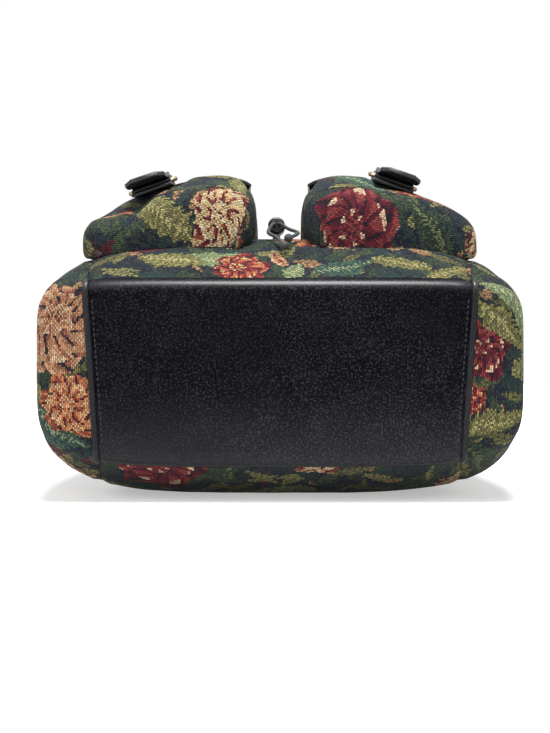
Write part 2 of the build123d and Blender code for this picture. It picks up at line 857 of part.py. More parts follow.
def pocket_fittings(strap_at):
    """Makes a pocket's strap, tab, buckle and prong for a distance from the bag's middle."""
    z = front_height(strap_at, buckle_at) + pocket_height(strap_at, buckle_at)
    middle = leaning(strap_at, z)[0]
    near, ahead = buckle_at - tab_length, buckle_at + buckle_length + 8
    pitch = atan2(face_level(ahead, middle) - face_level(near, middle), ahead - near)
    seat = max(face_level(y, middle) - (y - buckle_at) * tan(pitch) for y in spread(near, ahead, 9))
    raised = Vector(-sin(tilt), 0, cos(tilt))
    outward = Vector(cos(tilt), 0, sin(tilt))
    origin = outward * middle + raised * seat + Vector(0, buckle_at, 0)
    plane = Plane(origin=origin, x_dir=Vector(0, cos(pitch), 0) + raised * sin(pitch), z_dir=outward)

    def lying(y, level):
        """A place in the strap's plane, from a distance from the base and a height."""
        ahead_of, above = y - buckle_at, level - seat
        return ahead_of * cos(pitch) + above * sin(pitch), above * cos(pitch) - ahead_of * sin(pitch)

    half = strap_thick / 2
    far = strap_seat + half
    crossing = over_heel(strap_thick)
    path = [
        (-buckle_length - 7, crossing + strap_curl),
        (-buckle_length - 3, crossing + strap_curl * 0.66),
        (-buckle_length + 3, crossing + strap_curl * 0.3),
        (-8, crossing + 0.7),
        (0, crossing),
        (buckle_length * 0.55, (crossing + far) / 2 - 0.6),
        (buckle_length, far),
        (buckle_length + 5, far + 0.6),
    ]
    for y in [flap_start - 4, flap_start + 10, flap_start + 28, pocket_end - 8, pocket_end + 2]:
        over_flap = face_level(min(y, pocket_end), middle, flap_lift(max(y, flap_start)) + leather)
        path.append(lying(y, over_flap + over_flap_room + half))
    sewn = lying(near, face_level(near, middle) + 2 * strap_seat + tab_thick / 2 + seam_gap)
    parts = {
        "pocket_strap": threaded_strap(plane, path, strap_thick, strap_width, path[0], path[1]),
        "pocket_buckle": buckle_frame(plane, strap_thick),
        "pocket_prong": buckle_prong(plane, strap_thick),
        "pocket_tab": buckle_tab(plane, strap_thick, [sewn]),
    }
    return parts


# Shoulder straps: a lower strap from the base end, threaded through the buckle of
# an upper strap that comes down from the yoke patch
with BuildPart() as yoke_patch:
    rows = []
    for y in spread(yoke_start, yoke_end, 3):
        outer = front_points(y, yoke_width / 2, -(yoke_thick + seam_gap), 7, False)
        inner = front_points(y, yoke_width / 2, -seam_gap, 7, False)
        rows.append((across(y), outer, inner))
    add(lofted(rows))

splay = atan2(lower_strap_at - upper_strap_at, yoke_end - lower_strap_start)


def strap_spot(y):
    """How far out a shoulder strap's middle lies at a distance from the base."""
    return lower_strap_at - (y - lower_strap_start) * tan(splay)


def shoulder_fittings():
    """Makes the right shoulder strap's pieces."""
    half = shoulder_strap_thick / 2
    toward_base = Vector(sin(splay), -cos(splay), 0)
    origin = Vector(strap_spot(shoulder_buckle_at), shoulder_buckle_at, 0)
    plane = Plane(origin=origin, x_dir=toward_base, z_dir=toward_base.cross(Vector(0, 0, 1)))

    def at(y):
        """A distance from the base, measured along the strap from its buckle."""
        return (shoulder_buckle_at - y) / cos(splay)

    def below_back(y, gap):
        """The height of a strap's middle, close under the back panel."""
        spot, reach = strap_spot(y), shoulder_strap_width / 2
        return min(back_height(x, y + d) for x in (spot - reach, spot + reach) for d in (-8, 8)) - gap - half

    crossing = over_heel(shoulder_strap_thick)
    far = strap_seat + half
    lower = [(at(y), below_back(y, seam_gap)) for y in (lower_strap_start, lower_strap_start + 14)]
    lower += [(at(lower_strap_start + 45), half + 0.3)]
    lower += [(at(y), half) for y in spread(lower_strap_start + 79, shoulder_buckle_at - 39, 5)]
    lower += [(buckle_length + 7, far), (buckle_length, far), (buckle_length * 0.55, (crossing + far) / 2 - 0.6)]
    lower += [(0, crossing), (-9, crossing + 0.2), (-22, crossing), (-34, crossing), (-48, crossing + 0.6)]

    bottom = strap_seat + tab_thick + 0.15 + half
    turn_at = loop_end - loop_radius
    upper = [(-19, bottom), (-30, bottom), (-42, bottom), (at(turn_at - 8), half + 0.4)]
    for angle in spread(-90, 90, 7):
        turn = radians(angle)
        y = turn_at + loop_radius * cos(turn)
        upper.append((at(y), half + loop_radius * (1 + sin(turn))))
    upper += [(at(loop_end - 54), 42.5), (at(loop_end - 82), 30.0), (at(loop_end - 110), 15.5)]
    upper += [(at(loop_end - 132), 8.2), (at(loop_end - 156), 6.0)]
    upper += [(at(body_length + d), 5.5) for d in (35, 13, -5)]
    patch = yoke_thick + seam_gap + strap_seat + 0.3
    upper += [(at(y), below_back(y, patch)) for y in (yoke_end - 6, upper_strap_end)]

    keeper_height = crossing + half + keeper_thick + bar_clearance
    inner = (shoulder_strap_width + 1.0, keeper_height - 2 * keeper_thick)
    keeper_plane = Plane(
        origin=plane.from_local_coords(Vector(-35, keeper_height / 2, 0)), x_dir=plane.z_dir, z_dir=toward_base
    )
    with BuildPart() as keeper:
        with BuildSketch(keeper_plane):
            RectangleRounded(inner[0] + 2 * keeper_thick, keeper_height, keeper_thick)
            Rectangle(*inner, mode=Mode.SUBTRACT)
        extrude(amount=keeper_length / 2, both=True)
    with BuildPart() as upper_strap:
        add(ribbon(plane, upper, shoulder_strap_thick, shoulder_strap_width))
    whole_strap = threaded_strap(plane, lower, shoulder_strap_thick, shoulder_strap_width - 1.0, lower[-1], lower[-2])
    with BuildPart() as lower_strap:
        add(whole_strap.part)
        for k in range(1, strap_hole_count + 1):
            middle = plane.from_local_coords(Vector(buckle_length + k * strap_hole_spacing, half, 0))
            with BuildSketch(Plane(origin=middle, x_dir=plane.x_dir, z_dir=plane.y_dir)):
                Circle(strap_hole)
            extrude(amount=shoulder_strap_thick, both=True, mode=Mode.SUBTRACT)
    return {
        "shoulder_strap_lower": lower_strap,
        "shoulder_strap_upper": upper_strap,
        "shoulder_buckle": buckle_frame(plane, shoulder_strap_thick),
        "shoulder_prong": buckle_prong(plane, shoulder_strap_thick),
        "shoulder_tab": buckle_tab(plane, shoulder_strap_thick, [(-tab_length, strap_seat + tab_thick / 2)]),
        "shoulder_keeper": keeper,
    }


# Carry handle: a rolled leather loop, flopped down beside the mouth
handle_low = handle_radius + 1.1
handle_top = back_height(handle_spread, yoke_start + 8) - seam_gap - yoke_thick - 0.3 - handle_radius
with BuildPart() as carry_handle:
    half_route = [
        (handle_spread, yoke_start + 6, handle_top),
        (handle_spread, yoke_end + 2, handle_low),
        (handle_spread + 3, 262.0, handle_low),
        (handle_spread - 4, handle_reach, handle_low),
    ]
    other_half = [(-x, y, z) for x, y, z in half_route[::-1]]
    with BuildLine() as handle_path:
        FilletPolyline(*half_route, *other_half, radius=corner_radii(half_route + other_half))
    with BuildSketch(Plane(origin=handle_path.line @ 0, z_dir=handle_path.line % 0)):
        Circle(handle_radius)
    sweep()

# Main flap: from the back of the mouth, over it, to the top of the front
front_top = front_height(0, flap_free_edge)
flap_rows = [
    (hinge_at, back_height(0, hinge_at) - strap_seat - leather / 2 - 0.3, 0.0, 0.0),
    (body_length + 9.0, shoulder_low - 4.2, 0.05, 0.0),
    (body_length + 33.0, shoulder_low - 5.3, 0.15, 0.0),
    (body_length + 57.0, shoulder_low - 4.4, 0.3, 0.0),
    (body_length + 79.0, shoulder_low + 10.0, 0.45, 1.0),
    (body_length + 88.0, shoulder_top - 51.0, 0.6, 3.0),
    (body_length + 82.0, shoulder_top - 18.0, 0.75, 6.0),
    (body_length + 57.0, shoulder_top + 11.0, 0.88, 9.0),
    (body_length + 17.0, shoulder_top + 27.0, 0.95, 11.0),
    (body_length - 13.0, front_height(0, body_length - 13.0) + flap_stand_off + 7.0, 1.0, flap_droop),
    (body_length - 35.0, front_height(0, body_length - 35.0) + flap_stand_off + 1.0, 1.0, flap_droop),
    (flap_free_edge, front_top + flap_stand_off, 1.0, flap_droop),
]


def flap_section(k):
    """The plane and the two faces of the main flap in one of its rows."""
    y, z, share, droop = flap_rows[k]
    before, after = flap_rows[max(k - 1, 0)], flap_rows[min(k + 1, len(flap_rows) - 1)]
    plane = Plane(origin=(0, y, z), x_dir=(1, 0, 0), z_dir=(0, after[0] - before[0], after[1] - before[1]))
    half = (hinge_width + (main_flap_width - hinge_width) * share) / 2
    outer, inner = [], []
    for x in spread(-1, 1, 7):
        drop = -droop * x * x
        outer.append((half * x, drop + leather / 2))
        inner.append((half * x, drop - leather / 2))
    return plane, outer, inner


with BuildPart() as main_flap:
    add(lofted([flap_section(k) for k in range(len(flap_rows))]))

# Magnetic snaps: the lower half on the front panel, the upper half under the flap
snap_slope = (front_height(snap_spacing / 2, snap_at + 4) - front_height(snap_spacing / 2, snap_at - 4)) / 8
snap_lean = (front_height(snap_spacing / 2 + 4, snap_at) - front_height(snap_spacing / 2 - 4, snap_at)) / 8


def snap(start):
    """Makes a pair of snap discs that stand a distance above the front panel."""
    with BuildPart() as discs:
        for side in (-1, 1):
            x = side * snap_spacing / 2
            normal = Vector(-side * snap_lean, -snap_slope, 1).normalized()
            spot = Vector(x, snap_at, front_height(x, snap_at)) + normal * start
            with BuildSketch(Plane(origin=spot, z_dir=normal)):
                Circle(snap_radius)
            extrude(amount=snap_thick)
    return discs


flap_snap_stud = snap(0.3)
flap_snap_socket = snap(0.4 + snap_thick)

# Pairs: the right-hand piece is made, and the left-hand one is its mirror image
pieces = {
    "base_panel": base_panel,
    "front_panel": front_panel,
    "back_panel": back_panel,
    "side_panel_left": side_panel_left,
    "side_panel_right": side_panel_right,
    "base_binding_left": base_binding_left,
    "base_binding_right": base_binding_right,
    "base_board": base_board,
    "lining_front": lining_front,
    "lining_back": lining_back,
    "mouth_collar_front": mouth_collar_front,
    "mouth_collar_back": mouth_collar_back,
    "drawstring_loop": drawstring_loop,
    "drawstring_tail_left": drawstring_tail_left,
    "drawstring_tail_right": drawstring_tail_right,
    "tail_knot_left": tail_knot_left,
    "tail_knot_right": tail_knot_right,
    "cord_lock": cord_lock,
    "yoke_patch": yoke_patch,
    "carry_handle": carry_handle,
    "main_flap": main_flap,
    "flap_snap_stud": flap_snap_stud,
    "flap_snap_socket": flap_snap_socket,
}


def mirrored(made):
    """Makes the left-hand copy of a right-hand piece."""
    copy = mirror(made.part, about=Plane.YZ, mode=Mode.PRIVATE)
    with BuildPart() as other:
        add(copy)
    return other


pairs = {"pocket_front": pocket_front_right, "pocket_gusset": pocket_gusset_right, "pocket_flap": pocket_flap_right}
for name, made in {**pairs, **shoulder_fittings()}.items():
    pieces[name + "_right"] = made
    pieces[name + "_left"] = mirrored(made)
for name, made in pocket_fittings(right_strap_at).items():
    pieces[name + "_right"] = made
for name, made in pocket_fittings(left_strap_at).items():
    pieces[name + "_left"] = mirrored(made)

# The origin moves from below the base to the middle of the floor that the bag covers
near_end = min(made.part.bounding_box().min.Y for made in pieces.values())
far_end = max(made.part.bounding_box().max.Y for made in pieces.values())
to_origin = Location((0, -(near_end + far_end) / 2, 0))

for name, made in pieces.items():
    made.part.move(to_origin)
    made.part.label = name
    export_step(made.part, f"parts/{name}.step")
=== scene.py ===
"""Small drawstring backpack in floral tapestry and black leather, lying on its back.

The cloth panels, pockets and flaps are built here as stitched sheets round the CAD
frame, with the same body curves as the part.  Lengths inside the script are written
in millimetres, measured from the floor and from the bag's base, and each mesh is
turned into metres in the frame of the part when it is made.
"""

import logging
from dataclasses import dataclass, field
from enum import Enum
from math import atan2, cos, hypot, pi, radians, sin, sqrt
from typing import Callable, Iterable, Optional, Sequence

import bmesh
import bpy
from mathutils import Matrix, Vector, noise
from mathutils.bvhtree import BVHTree


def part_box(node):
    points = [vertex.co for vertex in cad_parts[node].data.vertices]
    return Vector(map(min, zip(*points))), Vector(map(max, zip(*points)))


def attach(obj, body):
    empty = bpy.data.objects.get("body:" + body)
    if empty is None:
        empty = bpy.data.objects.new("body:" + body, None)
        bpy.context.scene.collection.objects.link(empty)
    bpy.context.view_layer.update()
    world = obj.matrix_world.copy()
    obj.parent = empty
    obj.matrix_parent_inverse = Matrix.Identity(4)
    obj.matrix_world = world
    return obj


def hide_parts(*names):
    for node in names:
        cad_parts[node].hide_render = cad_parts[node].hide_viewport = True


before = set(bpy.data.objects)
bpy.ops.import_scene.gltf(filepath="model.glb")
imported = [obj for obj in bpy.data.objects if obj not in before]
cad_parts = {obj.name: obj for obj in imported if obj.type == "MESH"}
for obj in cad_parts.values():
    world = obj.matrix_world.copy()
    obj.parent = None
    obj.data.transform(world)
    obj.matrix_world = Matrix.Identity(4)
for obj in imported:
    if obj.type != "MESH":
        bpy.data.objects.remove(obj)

LOG = logging.getLogger("backpack")
MM = 0.001
BASE_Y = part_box("base_panel")[0].y
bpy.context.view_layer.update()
BAG = "bag"
MOUTH_HEIGHT = 62.0
SHARP = radians(48)
TINY = 1e-9

Row = tuple[float, ...]
Spot = tuple[float, float]
Material = bpy.types.Material
Object = bpy.types.Object


def to_world(x: float, y: float, z: float) -> Vector:
    """Turns millimetres from the base and the floor into the frame's metres."""
    return Vector((x * MM, BASE_Y + y * MM, z * MM))


def spread(start: float, end: float, count: int) -> list[float]:
    """Values evenly spaced from start to end."""
    return [start + (end - start) * k / (count - 1) for k in range(count)]


def smooth(rows: Sequence[Row], at: float, column: int) -> float:
    """Reads a column of the rows at a distance, on a curve through the rows.

    Args:
        rows: Rows whose first value is a distance.
        at: The distance at which the column is read.
        column: Which value of the rows is wanted.

    Returns:
        The value on the curve.
    """
    xs = [row[0] for row in rows]
    ys = [row[column] for row in rows]
    at = min(max(at, xs[0]), xs[-1])
    i = max(k for k in range(len(xs) - 1) if xs[k] <= at)
    slopes = []
    for k in (i, i + 1):
        low, high = max(k - 1, 0), min(k + 1, len(xs) - 1)
        slopes.append((ys[high] - ys[low]) / (xs[high] - xs[low]))
    span = xs[i + 1] - xs[i]
    t = (at - xs[i]) / span
    return (
        ys[i] * (2 * t**3 - 3 * t**2 + 1)
        + slopes[0] * span * (t**3 - 2 * t**2 + t)
        + ys[i + 1] * (3 * t**2 - 2 * t**3)
        + slopes[1] * span * (t**3 - t**2)
    )


def rough(x: float, y: float, seed: float, size: float) -> float:
    """A soft random value between -1 and 1 that changes over about a given size."""
    return noise.noise(Vector((x / size + seed * 7.31, y / size - seed * 3.17, seed)))


def fade(value: float, start: float, end: float) -> float:
    """Rises smoothly from 0 to 1 between start and end."""
    t = max(0.0, min(1.0, (value - start) / (end - start)))
    return t * t * (3 - 2 * t)


def reach_of(angle: float, boxy: float) -> float:
    """How far a superellipse of half width 1 reaches in a direction."""
    return (abs(cos(angle)) ** boxy + abs(sin(angle)) ** boxy) ** (-1 / boxy)


def rolled_in(radius: float, way: float) -> float:
    """How far a rounded edge stands in, some way along from where it starts."""
    depth = radius - way
    return radius - sqrt(max(0.0, radius**2 - depth**2)) if depth > 0 else 0.0


# Form of the stuffed bag


class Part(Enum):
    """The four walls of the bag."""

    FRONT = "front"
    BACK = "back"
    RIGHT = "right"
    LEFT = "left"


@dataclass(frozen=True)
class Section:
    """One cross-section of the bag: half width, middle height, way up and down, and squareness."""

    half: float
    middle: float
    rise: float
    fall: float
    boxy_top: float
    boxy_low: float

    def point(self, angle: float) -> Spot:
        """The point of the section in a direction.

        Args:
            angle: The direction, from the bag's right and upward.

        Returns:
            Its place across and its height.
        """
        upward = sin(angle) >= 0
        boxy = self.boxy_top if upward else self.boxy_low
        reach = reach_of(angle, boxy)
        height = (self.rise if upward else self.fall) * reach * sin(angle)
        return self.half * reach * cos(angle), self.middle + height

    def angle(self, x: float, upward: bool = True) -> float:
        """The direction in which the section reaches a distance from its middle.

        Args:
            x: The distance, to the right.
            upward: Whether the upper half is meant.

        Returns:
            The direction.
        """
        boxy = self.boxy_top if upward else self.boxy_low
        share = max(-1.0, min(1.0, x / self.half))
        height = (1 - abs(share) ** boxy) ** (1 / boxy)
        return atan2(height if upward else -height, share)


@dataclass(frozen=True)
class BodyForm:
    """The outer form of the bag, from its base to its shoulders.

    Each row holds the distance from the base, half width, lowest and highest point, and
    the squareness of the upper and the lower half.
    """

    edge_radius: float = 9.0
    length: float = 245.0
    seam_front: float = 112.0
    seam_back: float = 106.0
    seam_gap: float = 0.3
    seat_gap: float = 0.15
    rows: tuple[Row, ...] = (
        (9.0, 141.5, 20.5, 130.5, 8.0, 4.8),
        (25.0, 144.0, 9.225, 143.5, 5.2, 4.4),
        (42.0, 146.2, 2.2, 154.0, 4.0, 4.1),
        (60.0, 148.0, 0.0, 158.8, 3.4, 3.9),
        (85.0, 149.0, 3.8, 162.0, 3.1, 3.7),
        (130.0, 148.0, 5.0, 162.0, 3.0, 3.5),
        (180.0, 141.0, 7.5, 152.0, 2.9, 3.3),
        (220.0, 124.0, 12.0, 132.0, 2.8, 3.0),
        (245.0, 101.0, 16.0, 108.0, 2.6, 2.8),
    )

    def section(self, y: float, inset: float = 0.0) -> Section:
        """The cross-section at a distance from the base, set in by an amount.

        Args:
            y: Distance from the base.
            inset: How far the section stands inside the outer form.

        Returns:
            The section.
        """
        half, low, high, boxy_top, boxy_low = (smooth(self.rows, y, c) for c in range(1, 6))
        middle = (low + high) / 2
        inset += rolled_in(self.edge_radius, y)
        rise, fall = high - middle - inset, middle - low - inset
        return Section(half - inset, middle, rise, fall, boxy_top, boxy_low)

    def front(self, x: float, y: float) -> float:
        """The height of the front panel's face."""
        section = self.section(y)
        return section.point(section.angle(x))[1]

    def seam(self, y: float, width: float) -> float:
        """Where a seam of the base runs on."""
        return width * smooth(self.rows, y, 1) / self.rows[0][1]

    def seam_ends(self, side: int) -> tuple[Spot, Spot]:
        """The upper and the lower end of a seam on the base's face.

        Args:
            side: 1 for the bag's right, -1 for its left.

        Returns:
            Both points, across and up.
        """
        section = self.section(0.0)
        upper = section.point(section.angle(side * self.seam_front))
        return upper, section.point(section.angle(side * self.seam_back, False))

    def wall_angles(self, y: float, part: Part, gap: float) -> Spot:
        """The directions between which a wall runs in a section.

        Args:
            y: Distance from the base.
            part: The wall.
            gap: How far the wall stays away from its seams.

        Returns:
            The first and the last direction.
        """
        section = self.section(y)
        front, back = self.seam(y, self.seam_front), self.seam(y, self.seam_back)
        if part is Part.FRONT:
            return section.angle(-front + gap), section.angle(front - gap)
        if part is Part.BACK:
            return section.angle(back - gap, False), section.angle(-back + gap, False)
        if part is Part.RIGHT:
            return section.angle(front + gap), section.angle(back + gap, False)
        return section.angle(-front - gap), section.angle(-back - gap, False) + 2 * pi

    def wall_points(self, y: float, part: Part, count: int, gap: Optional[float] = None) -> list[Spot]:
        """One row of points along a wall.

        Args:
            y: Distance from the base.
            part: The wall.
            count: How many points there are.
            gap: How far the wall stays away from its seams, by default the seat gap.

        Returns:
            The points, across and up.
        """
        section = self.section(y)
        gap = self.seat_gap if gap is None else gap
        return [section.point(angle) for angle in spread(*self.wall_angles(y, part, gap), count)]


BODY = BodyForm()


# Shader graphs


class Socket:
    """A value in a shader graph, with the usual operators."""

    def __init__(self, graph: "Graph", value: object) -> None:
        """Keeps a number, or an output of a node, with its graph."""
        self.graph = graph
        self.value = value

    def __add__(self, other: object) -> "Socket":
        """The sum."""
        return self.graph.math("ADD", self, other)

    __radd__ = __add__

    def __sub__(self, other: object) -> "Socket":
        """The difference."""
        return self.graph.math("SUBTRACT", self, other)

    def __rsub__(self, other: object) -> "Socket":
        """The difference, taken from a plain number."""
        return self.graph.math("SUBTRACT", other, self)

    def __mul__(self, other: object) -> "Socket":
        """The product."""
        return self.graph.math("MULTIPLY", self, other)

    __rmul__ = __mul__

    def __truediv__(self, other: object) -> "Socket":
        """The quotient."""
        return self.graph.math("DIVIDE", self, other)

    def __rtruediv__(self, other: object) -> "Socket":
        """The quotient of a plain number."""
        return self.graph.math("DIVIDE", other, self)

    def __pow__(self, other: object) -> "Socket":
        """The power."""
        return self.graph.math("POWER", self, other)

    def __lt__(self, other: object) -> "Socket":
        """1 where the value is less, else 0."""
        return self.graph.math("LESS_THAN", self, other)

    def __gt__(self, other: object) -> "Socket":
        """1 where the value is greater, else 0."""
        return self.graph.math("GREATER_THAN", self, other)

    def __abs__(self) -> "Socket":
        """The value without its sign."""
        return self.graph.math("ABSOLUTE", self)


class Owner(Enum):
    """What a node tree can belong to, by its collection in the file."""

    MATERIAL = "materials"
    WORLD = "worlds"


class Graph:
    """A node tree of a material or the world, built up from short calls."""

    def __init__(self, name: str, owner: Owner = Owner.MATERIAL) -> None:
        """Makes a material or a world with an empty tree.

        Args:
            name: The name of the material or the world.
            owner: Which of the two it makes.
        """
        self.owner = getattr(bpy.data, owner.value).new(name)
        self.owner.use_nodes = True
        self.tree = self.owner.node_tree
        self.tree.nodes.clear()

    def node(
        self, kind: str, settings: Optional[dict] = None, inputs: Optional[dict] = None
    ) -> bpy.types.Node:
        """Adds a node.

        Args:
            kind: The node's type, without its prefix.
            settings: Properties of the node to set.
            inputs: Values or sockets for its inputs, by name or number.

        Returns:
            The new node.
        """
        node = self.tree.nodes.new("ShaderNode" + kind)
        for key, value in (settings or {}).items():
            setattr(node, key, value)
        for key, value in (inputs or {}).items():
            socket = node.inputs[key]
            if isinstance(value, Socket):
                self.tree.links.new(value.value, socket)
            else:
                socket.default_value = value
        return node

    def out(self, node: bpy.types.Node, name: object = 0) -> Socket:
        """One output of a node."""
        return Socket(self, node.outputs[name])

    def math(self, operation: str, *values: object) -> Socket:
        """A Math node on one to three values."""
        return self.out(self.node("Math", {"operation": operation}, dict(enumerate(values))))

    def vector(self, operation: str, *values: object, output: object = 0) -> Socket:
        """A Vector Math node."""
        inputs = dict(enumerate(values))
        return self.out(self.node("VectorMath", {"operation": operation}, inputs), output)

    def scaled(self, vector: Socket, scale: float) -> Socket:
        """A vector times a number."""
        inputs = {0: vector, "Scale": scale}
        return self.out(self.node("VectorMath", {"operation": "SCALE"}, inputs))

    def parts(self, vector: Socket) -> list[Socket]:
        """A vector's three parts."""
        node = self.node("SeparateXYZ", inputs={0: vector})
        return [self.out(node, k) for k in range(3)]

    def mix(self, factor: object, first: object, second: object) -> Socket:
        """Mixes two colours."""
        settings = {"data_type": "RGBA", "clamp_factor": True}
        return self.out(self.node("Mix", settings, {0: factor, 6: first, 7: second}), 2)

    def blend(self, factor: object, first: object, second: object) -> Socket:
        """Mixes two numbers."""
        return self.out(self.node("Mix", {"data_type": "FLOAT"}, {0: factor, 2: first, 3: second}))

    def step(self, value: object, start: float, end: float) -> Socket:
        """Rises smoothly from 0 to 1 as the value goes from start to end.

        Args:
            value: The value to judge.
            start: Where the rise begins.
            end: Where it ends.

        Returns:
            The number from 0 to 1.
        """
        settings = {"interpolation_type": "SMOOTHSTEP"}
        inputs = {0: value, 1: start, 2: end, 3: 0.0, 4: 1.0}
        return self.out(self.node("MapRange", settings, inputs))

    def ramp(
        self, factor: object, stops: Iterable[tuple[float, Sequence[float]]], hard: bool = False
    ) -> Socket:
        """A colour ramp.

        Args:
            factor: Where on the ramp to read.
            stops: Places and colours.
            hard: Whether the colours change in steps.

        Returns:
            The colour.
        """
        node = self.node("ValToRGB", inputs={0: factor})
        node.color_ramp.interpolation = "CONSTANT" if hard else "LINEAR"
        elements = node.color_ramp.elements
        for k, (place, colour) in enumerate(stops):
            element = elements[k] if k < len(elements) else elements.new(place)
            element.position = place
            element.color = (*colour, 1.0)
        return self.out(node)

    def noise(self, where: object, scale: float, detail: float = 2.0, output: object = 0) -> Socket:
        """A Noise Texture."""
        inputs = {"Vector": where, "Scale": scale, "Detail": detail}
        return self.out(self.node("TexNoise", inputs=inputs), output)

    def speckle(self, where: Socket) -> Socket:
        """A random number for each place."""
        settings = {"noise_dimensions": "3D"}
        return self.out(self.node("TexWhiteNoise", settings, {"Vector": where}))

    def bump(
        self, height: object, distance: float, strength: float, under: Optional[Socket] = None
    ) -> Socket:
        """A Bump node, on top of another one if given.

        Args:
            height: The relief.
            distance: How deep a height of 1 is, in metres.
            strength: How much of the relief shows.
            under: The normal below it.

        Returns:
            The normal.
        """
        inputs = {"Height": height, "Distance": distance, "Strength": strength}
        if under is not None:
            inputs["Normal"] = under
        return self.out(self.node("Bump", inputs=inputs))

    def place(self) -> Socket:
        """The point on the object, in metres of the frame."""
        return self.out(self.node("TexCoord"), "Object")

    def seen(self) -> Socket:
        """Tells rays from the camera, from a reflection or through clear glass.

        Returns:
            1 for such a ray, else 0.
        """
        path = self.node("LightPath")
        rays = [self.out(path, f"Is {kind} Ray") for kind in ("Camera", "Glossy", "Transmission")]
        return self.math("MAXIMUM", self.math("MAXIMUM", *rays[:2]), rays[2])

    def finish(self, inputs: dict) -> Material:
        """Closes a material's graph with a Principled shader.

        Args:
            inputs: Values or links of the shader's sockets.

        Returns:
            The material.
        """
        shader = self.node("BsdfPrincipled", inputs=inputs)
        self.node("OutputMaterial", inputs={"Surface": self.out(shader)})
        return self.owner

    def light_up(self, strength: Socket) -> bpy.types.World:
        """Closes a world's graph with white light.

        Args:
            strength: How strong the light is.

        Returns:
            The world.
        """
        light = self.node("Background", inputs={"Color": WHITE, "Strength": strength})
        self.node("OutputWorld", inputs={"Surface": self.out(light)})
        return self.owner


Colour = tuple[float, float, float]
WHITE = (1.0, 1.0, 1.0, 1.0)


class Motif:
    """Something that is woven into the cloth."""

    def draw(self, graph: Graph, cloth: "ClothSpace", under: Socket) -> Socket:
        """Weaves the motif over what lies under it.

        Args:
            graph: The material's graph.
            cloth: Coordinates on the cloth.
            under: The colour so far.

        Returns:
            The colour with the motif in it.
        """
        raise NotImplementedError


@dataclass(frozen=True)
class Flower(Motif):
    """A round flower: its place, size and the tones from heart to rim."""

    at: Spot
    radius: float
    petals: int
    turn: float
    tones: tuple[Colour, ...]
    rings: float = 2.3
    ring_turn: float = 1.9
    ragged: float = 0.4

    def draw(self, graph: Graph, cloth: "ClothSpace", under: Socket) -> Socket:
        """Weaves rings of petals with dark veins.

        Args:
            graph: The material's graph.
            cloth: The cloth's coordinates.
            under: The colour below the motif.

        Returns:
            The colour with the motif on it.
        """
        dx, dy = cloth.offset(self.at)
        reach = graph.math("SQRT", dx * dx + dy * dy)
        angle = graph.math("ARCTAN2", dy, dx) + self.turn
        lobe = abs(graph.math("COSINE", angle * (self.petals / 2)))
        rim = reach / ((lobe * 0.2 + 0.8 + (cloth.ripple - 0.5) * self.ragged) * self.radius)
        rings = rim * self.rings + cloth.ripple * 0.6
        ring = graph.math("FLOOR", rings)
        swing = angle * (self.petals / 2) + ring * self.ring_turn + cloth.ripple * 2.0
        petal = abs(graph.math("COSINE", swing))
        vein = graph.math("SINE", angle * (self.petals * 2.0) + reach * 0.35 + ring * 2.3) > 0.7
        tone = (rings - ring) * 0.5 + petal * 0.42 + cloth.ripple * 0.22 - vein * 0.4
        return graph.mix(rim < 1.0, under, graph.ramp(tone, stops(self.tones, 0.86), hard=True))


@dataclass(frozen=True)
class Leaf(Motif):
    """A leaf: its place, half length, half width, turn and tones."""

    at: Spot
    length: float
    width: float
    turn: float
    tones: tuple[Colour, ...]
    teeth: float = 9.0
    ribs: float = 13.0

    def draw(self, graph: Graph, cloth: "ClothSpace", under: Socket) -> Socket:
        """Weaves a toothed leaf with ribs and one darker side.

        Args:
            graph: The material's graph.
            cloth: The cloth's coordinates.
            under: The colour below the motif.

        Returns:
            The colour with the motif on it.
        """
        dx, dy = cloth.offset(self.at)
        along = dx * cos(self.turn) + dy * sin(self.turn)
        side = dy * cos(self.turn) - dx * sin(self.turn) + (cloth.ripple - 0.5) * (self.width * 0.5)
        share = along / self.length
        half = (1.0 - share * share) * ((share * -0.25 + 1.0) * self.width)
        tooth = graph.math("SINE", along * (self.teeth / self.width)) * (self.width * 0.07)
        across = abs(side) / graph.math("MAXIMUM", half + tooth, 0.01)
        ribs = graph.math("SINE", (along - abs(side) * 1.1) * (self.ribs / self.width)) * 0.16
        tone = across * 0.6 + ribs + (side > 0.0) * 0.14 + cloth.ripple * 0.2
        inside = (across < 1.0) * (abs(share) < 1.0)
        return graph.mix(inside, under, graph.ramp(tone, stops(self.tones, 0.8), hard=True))


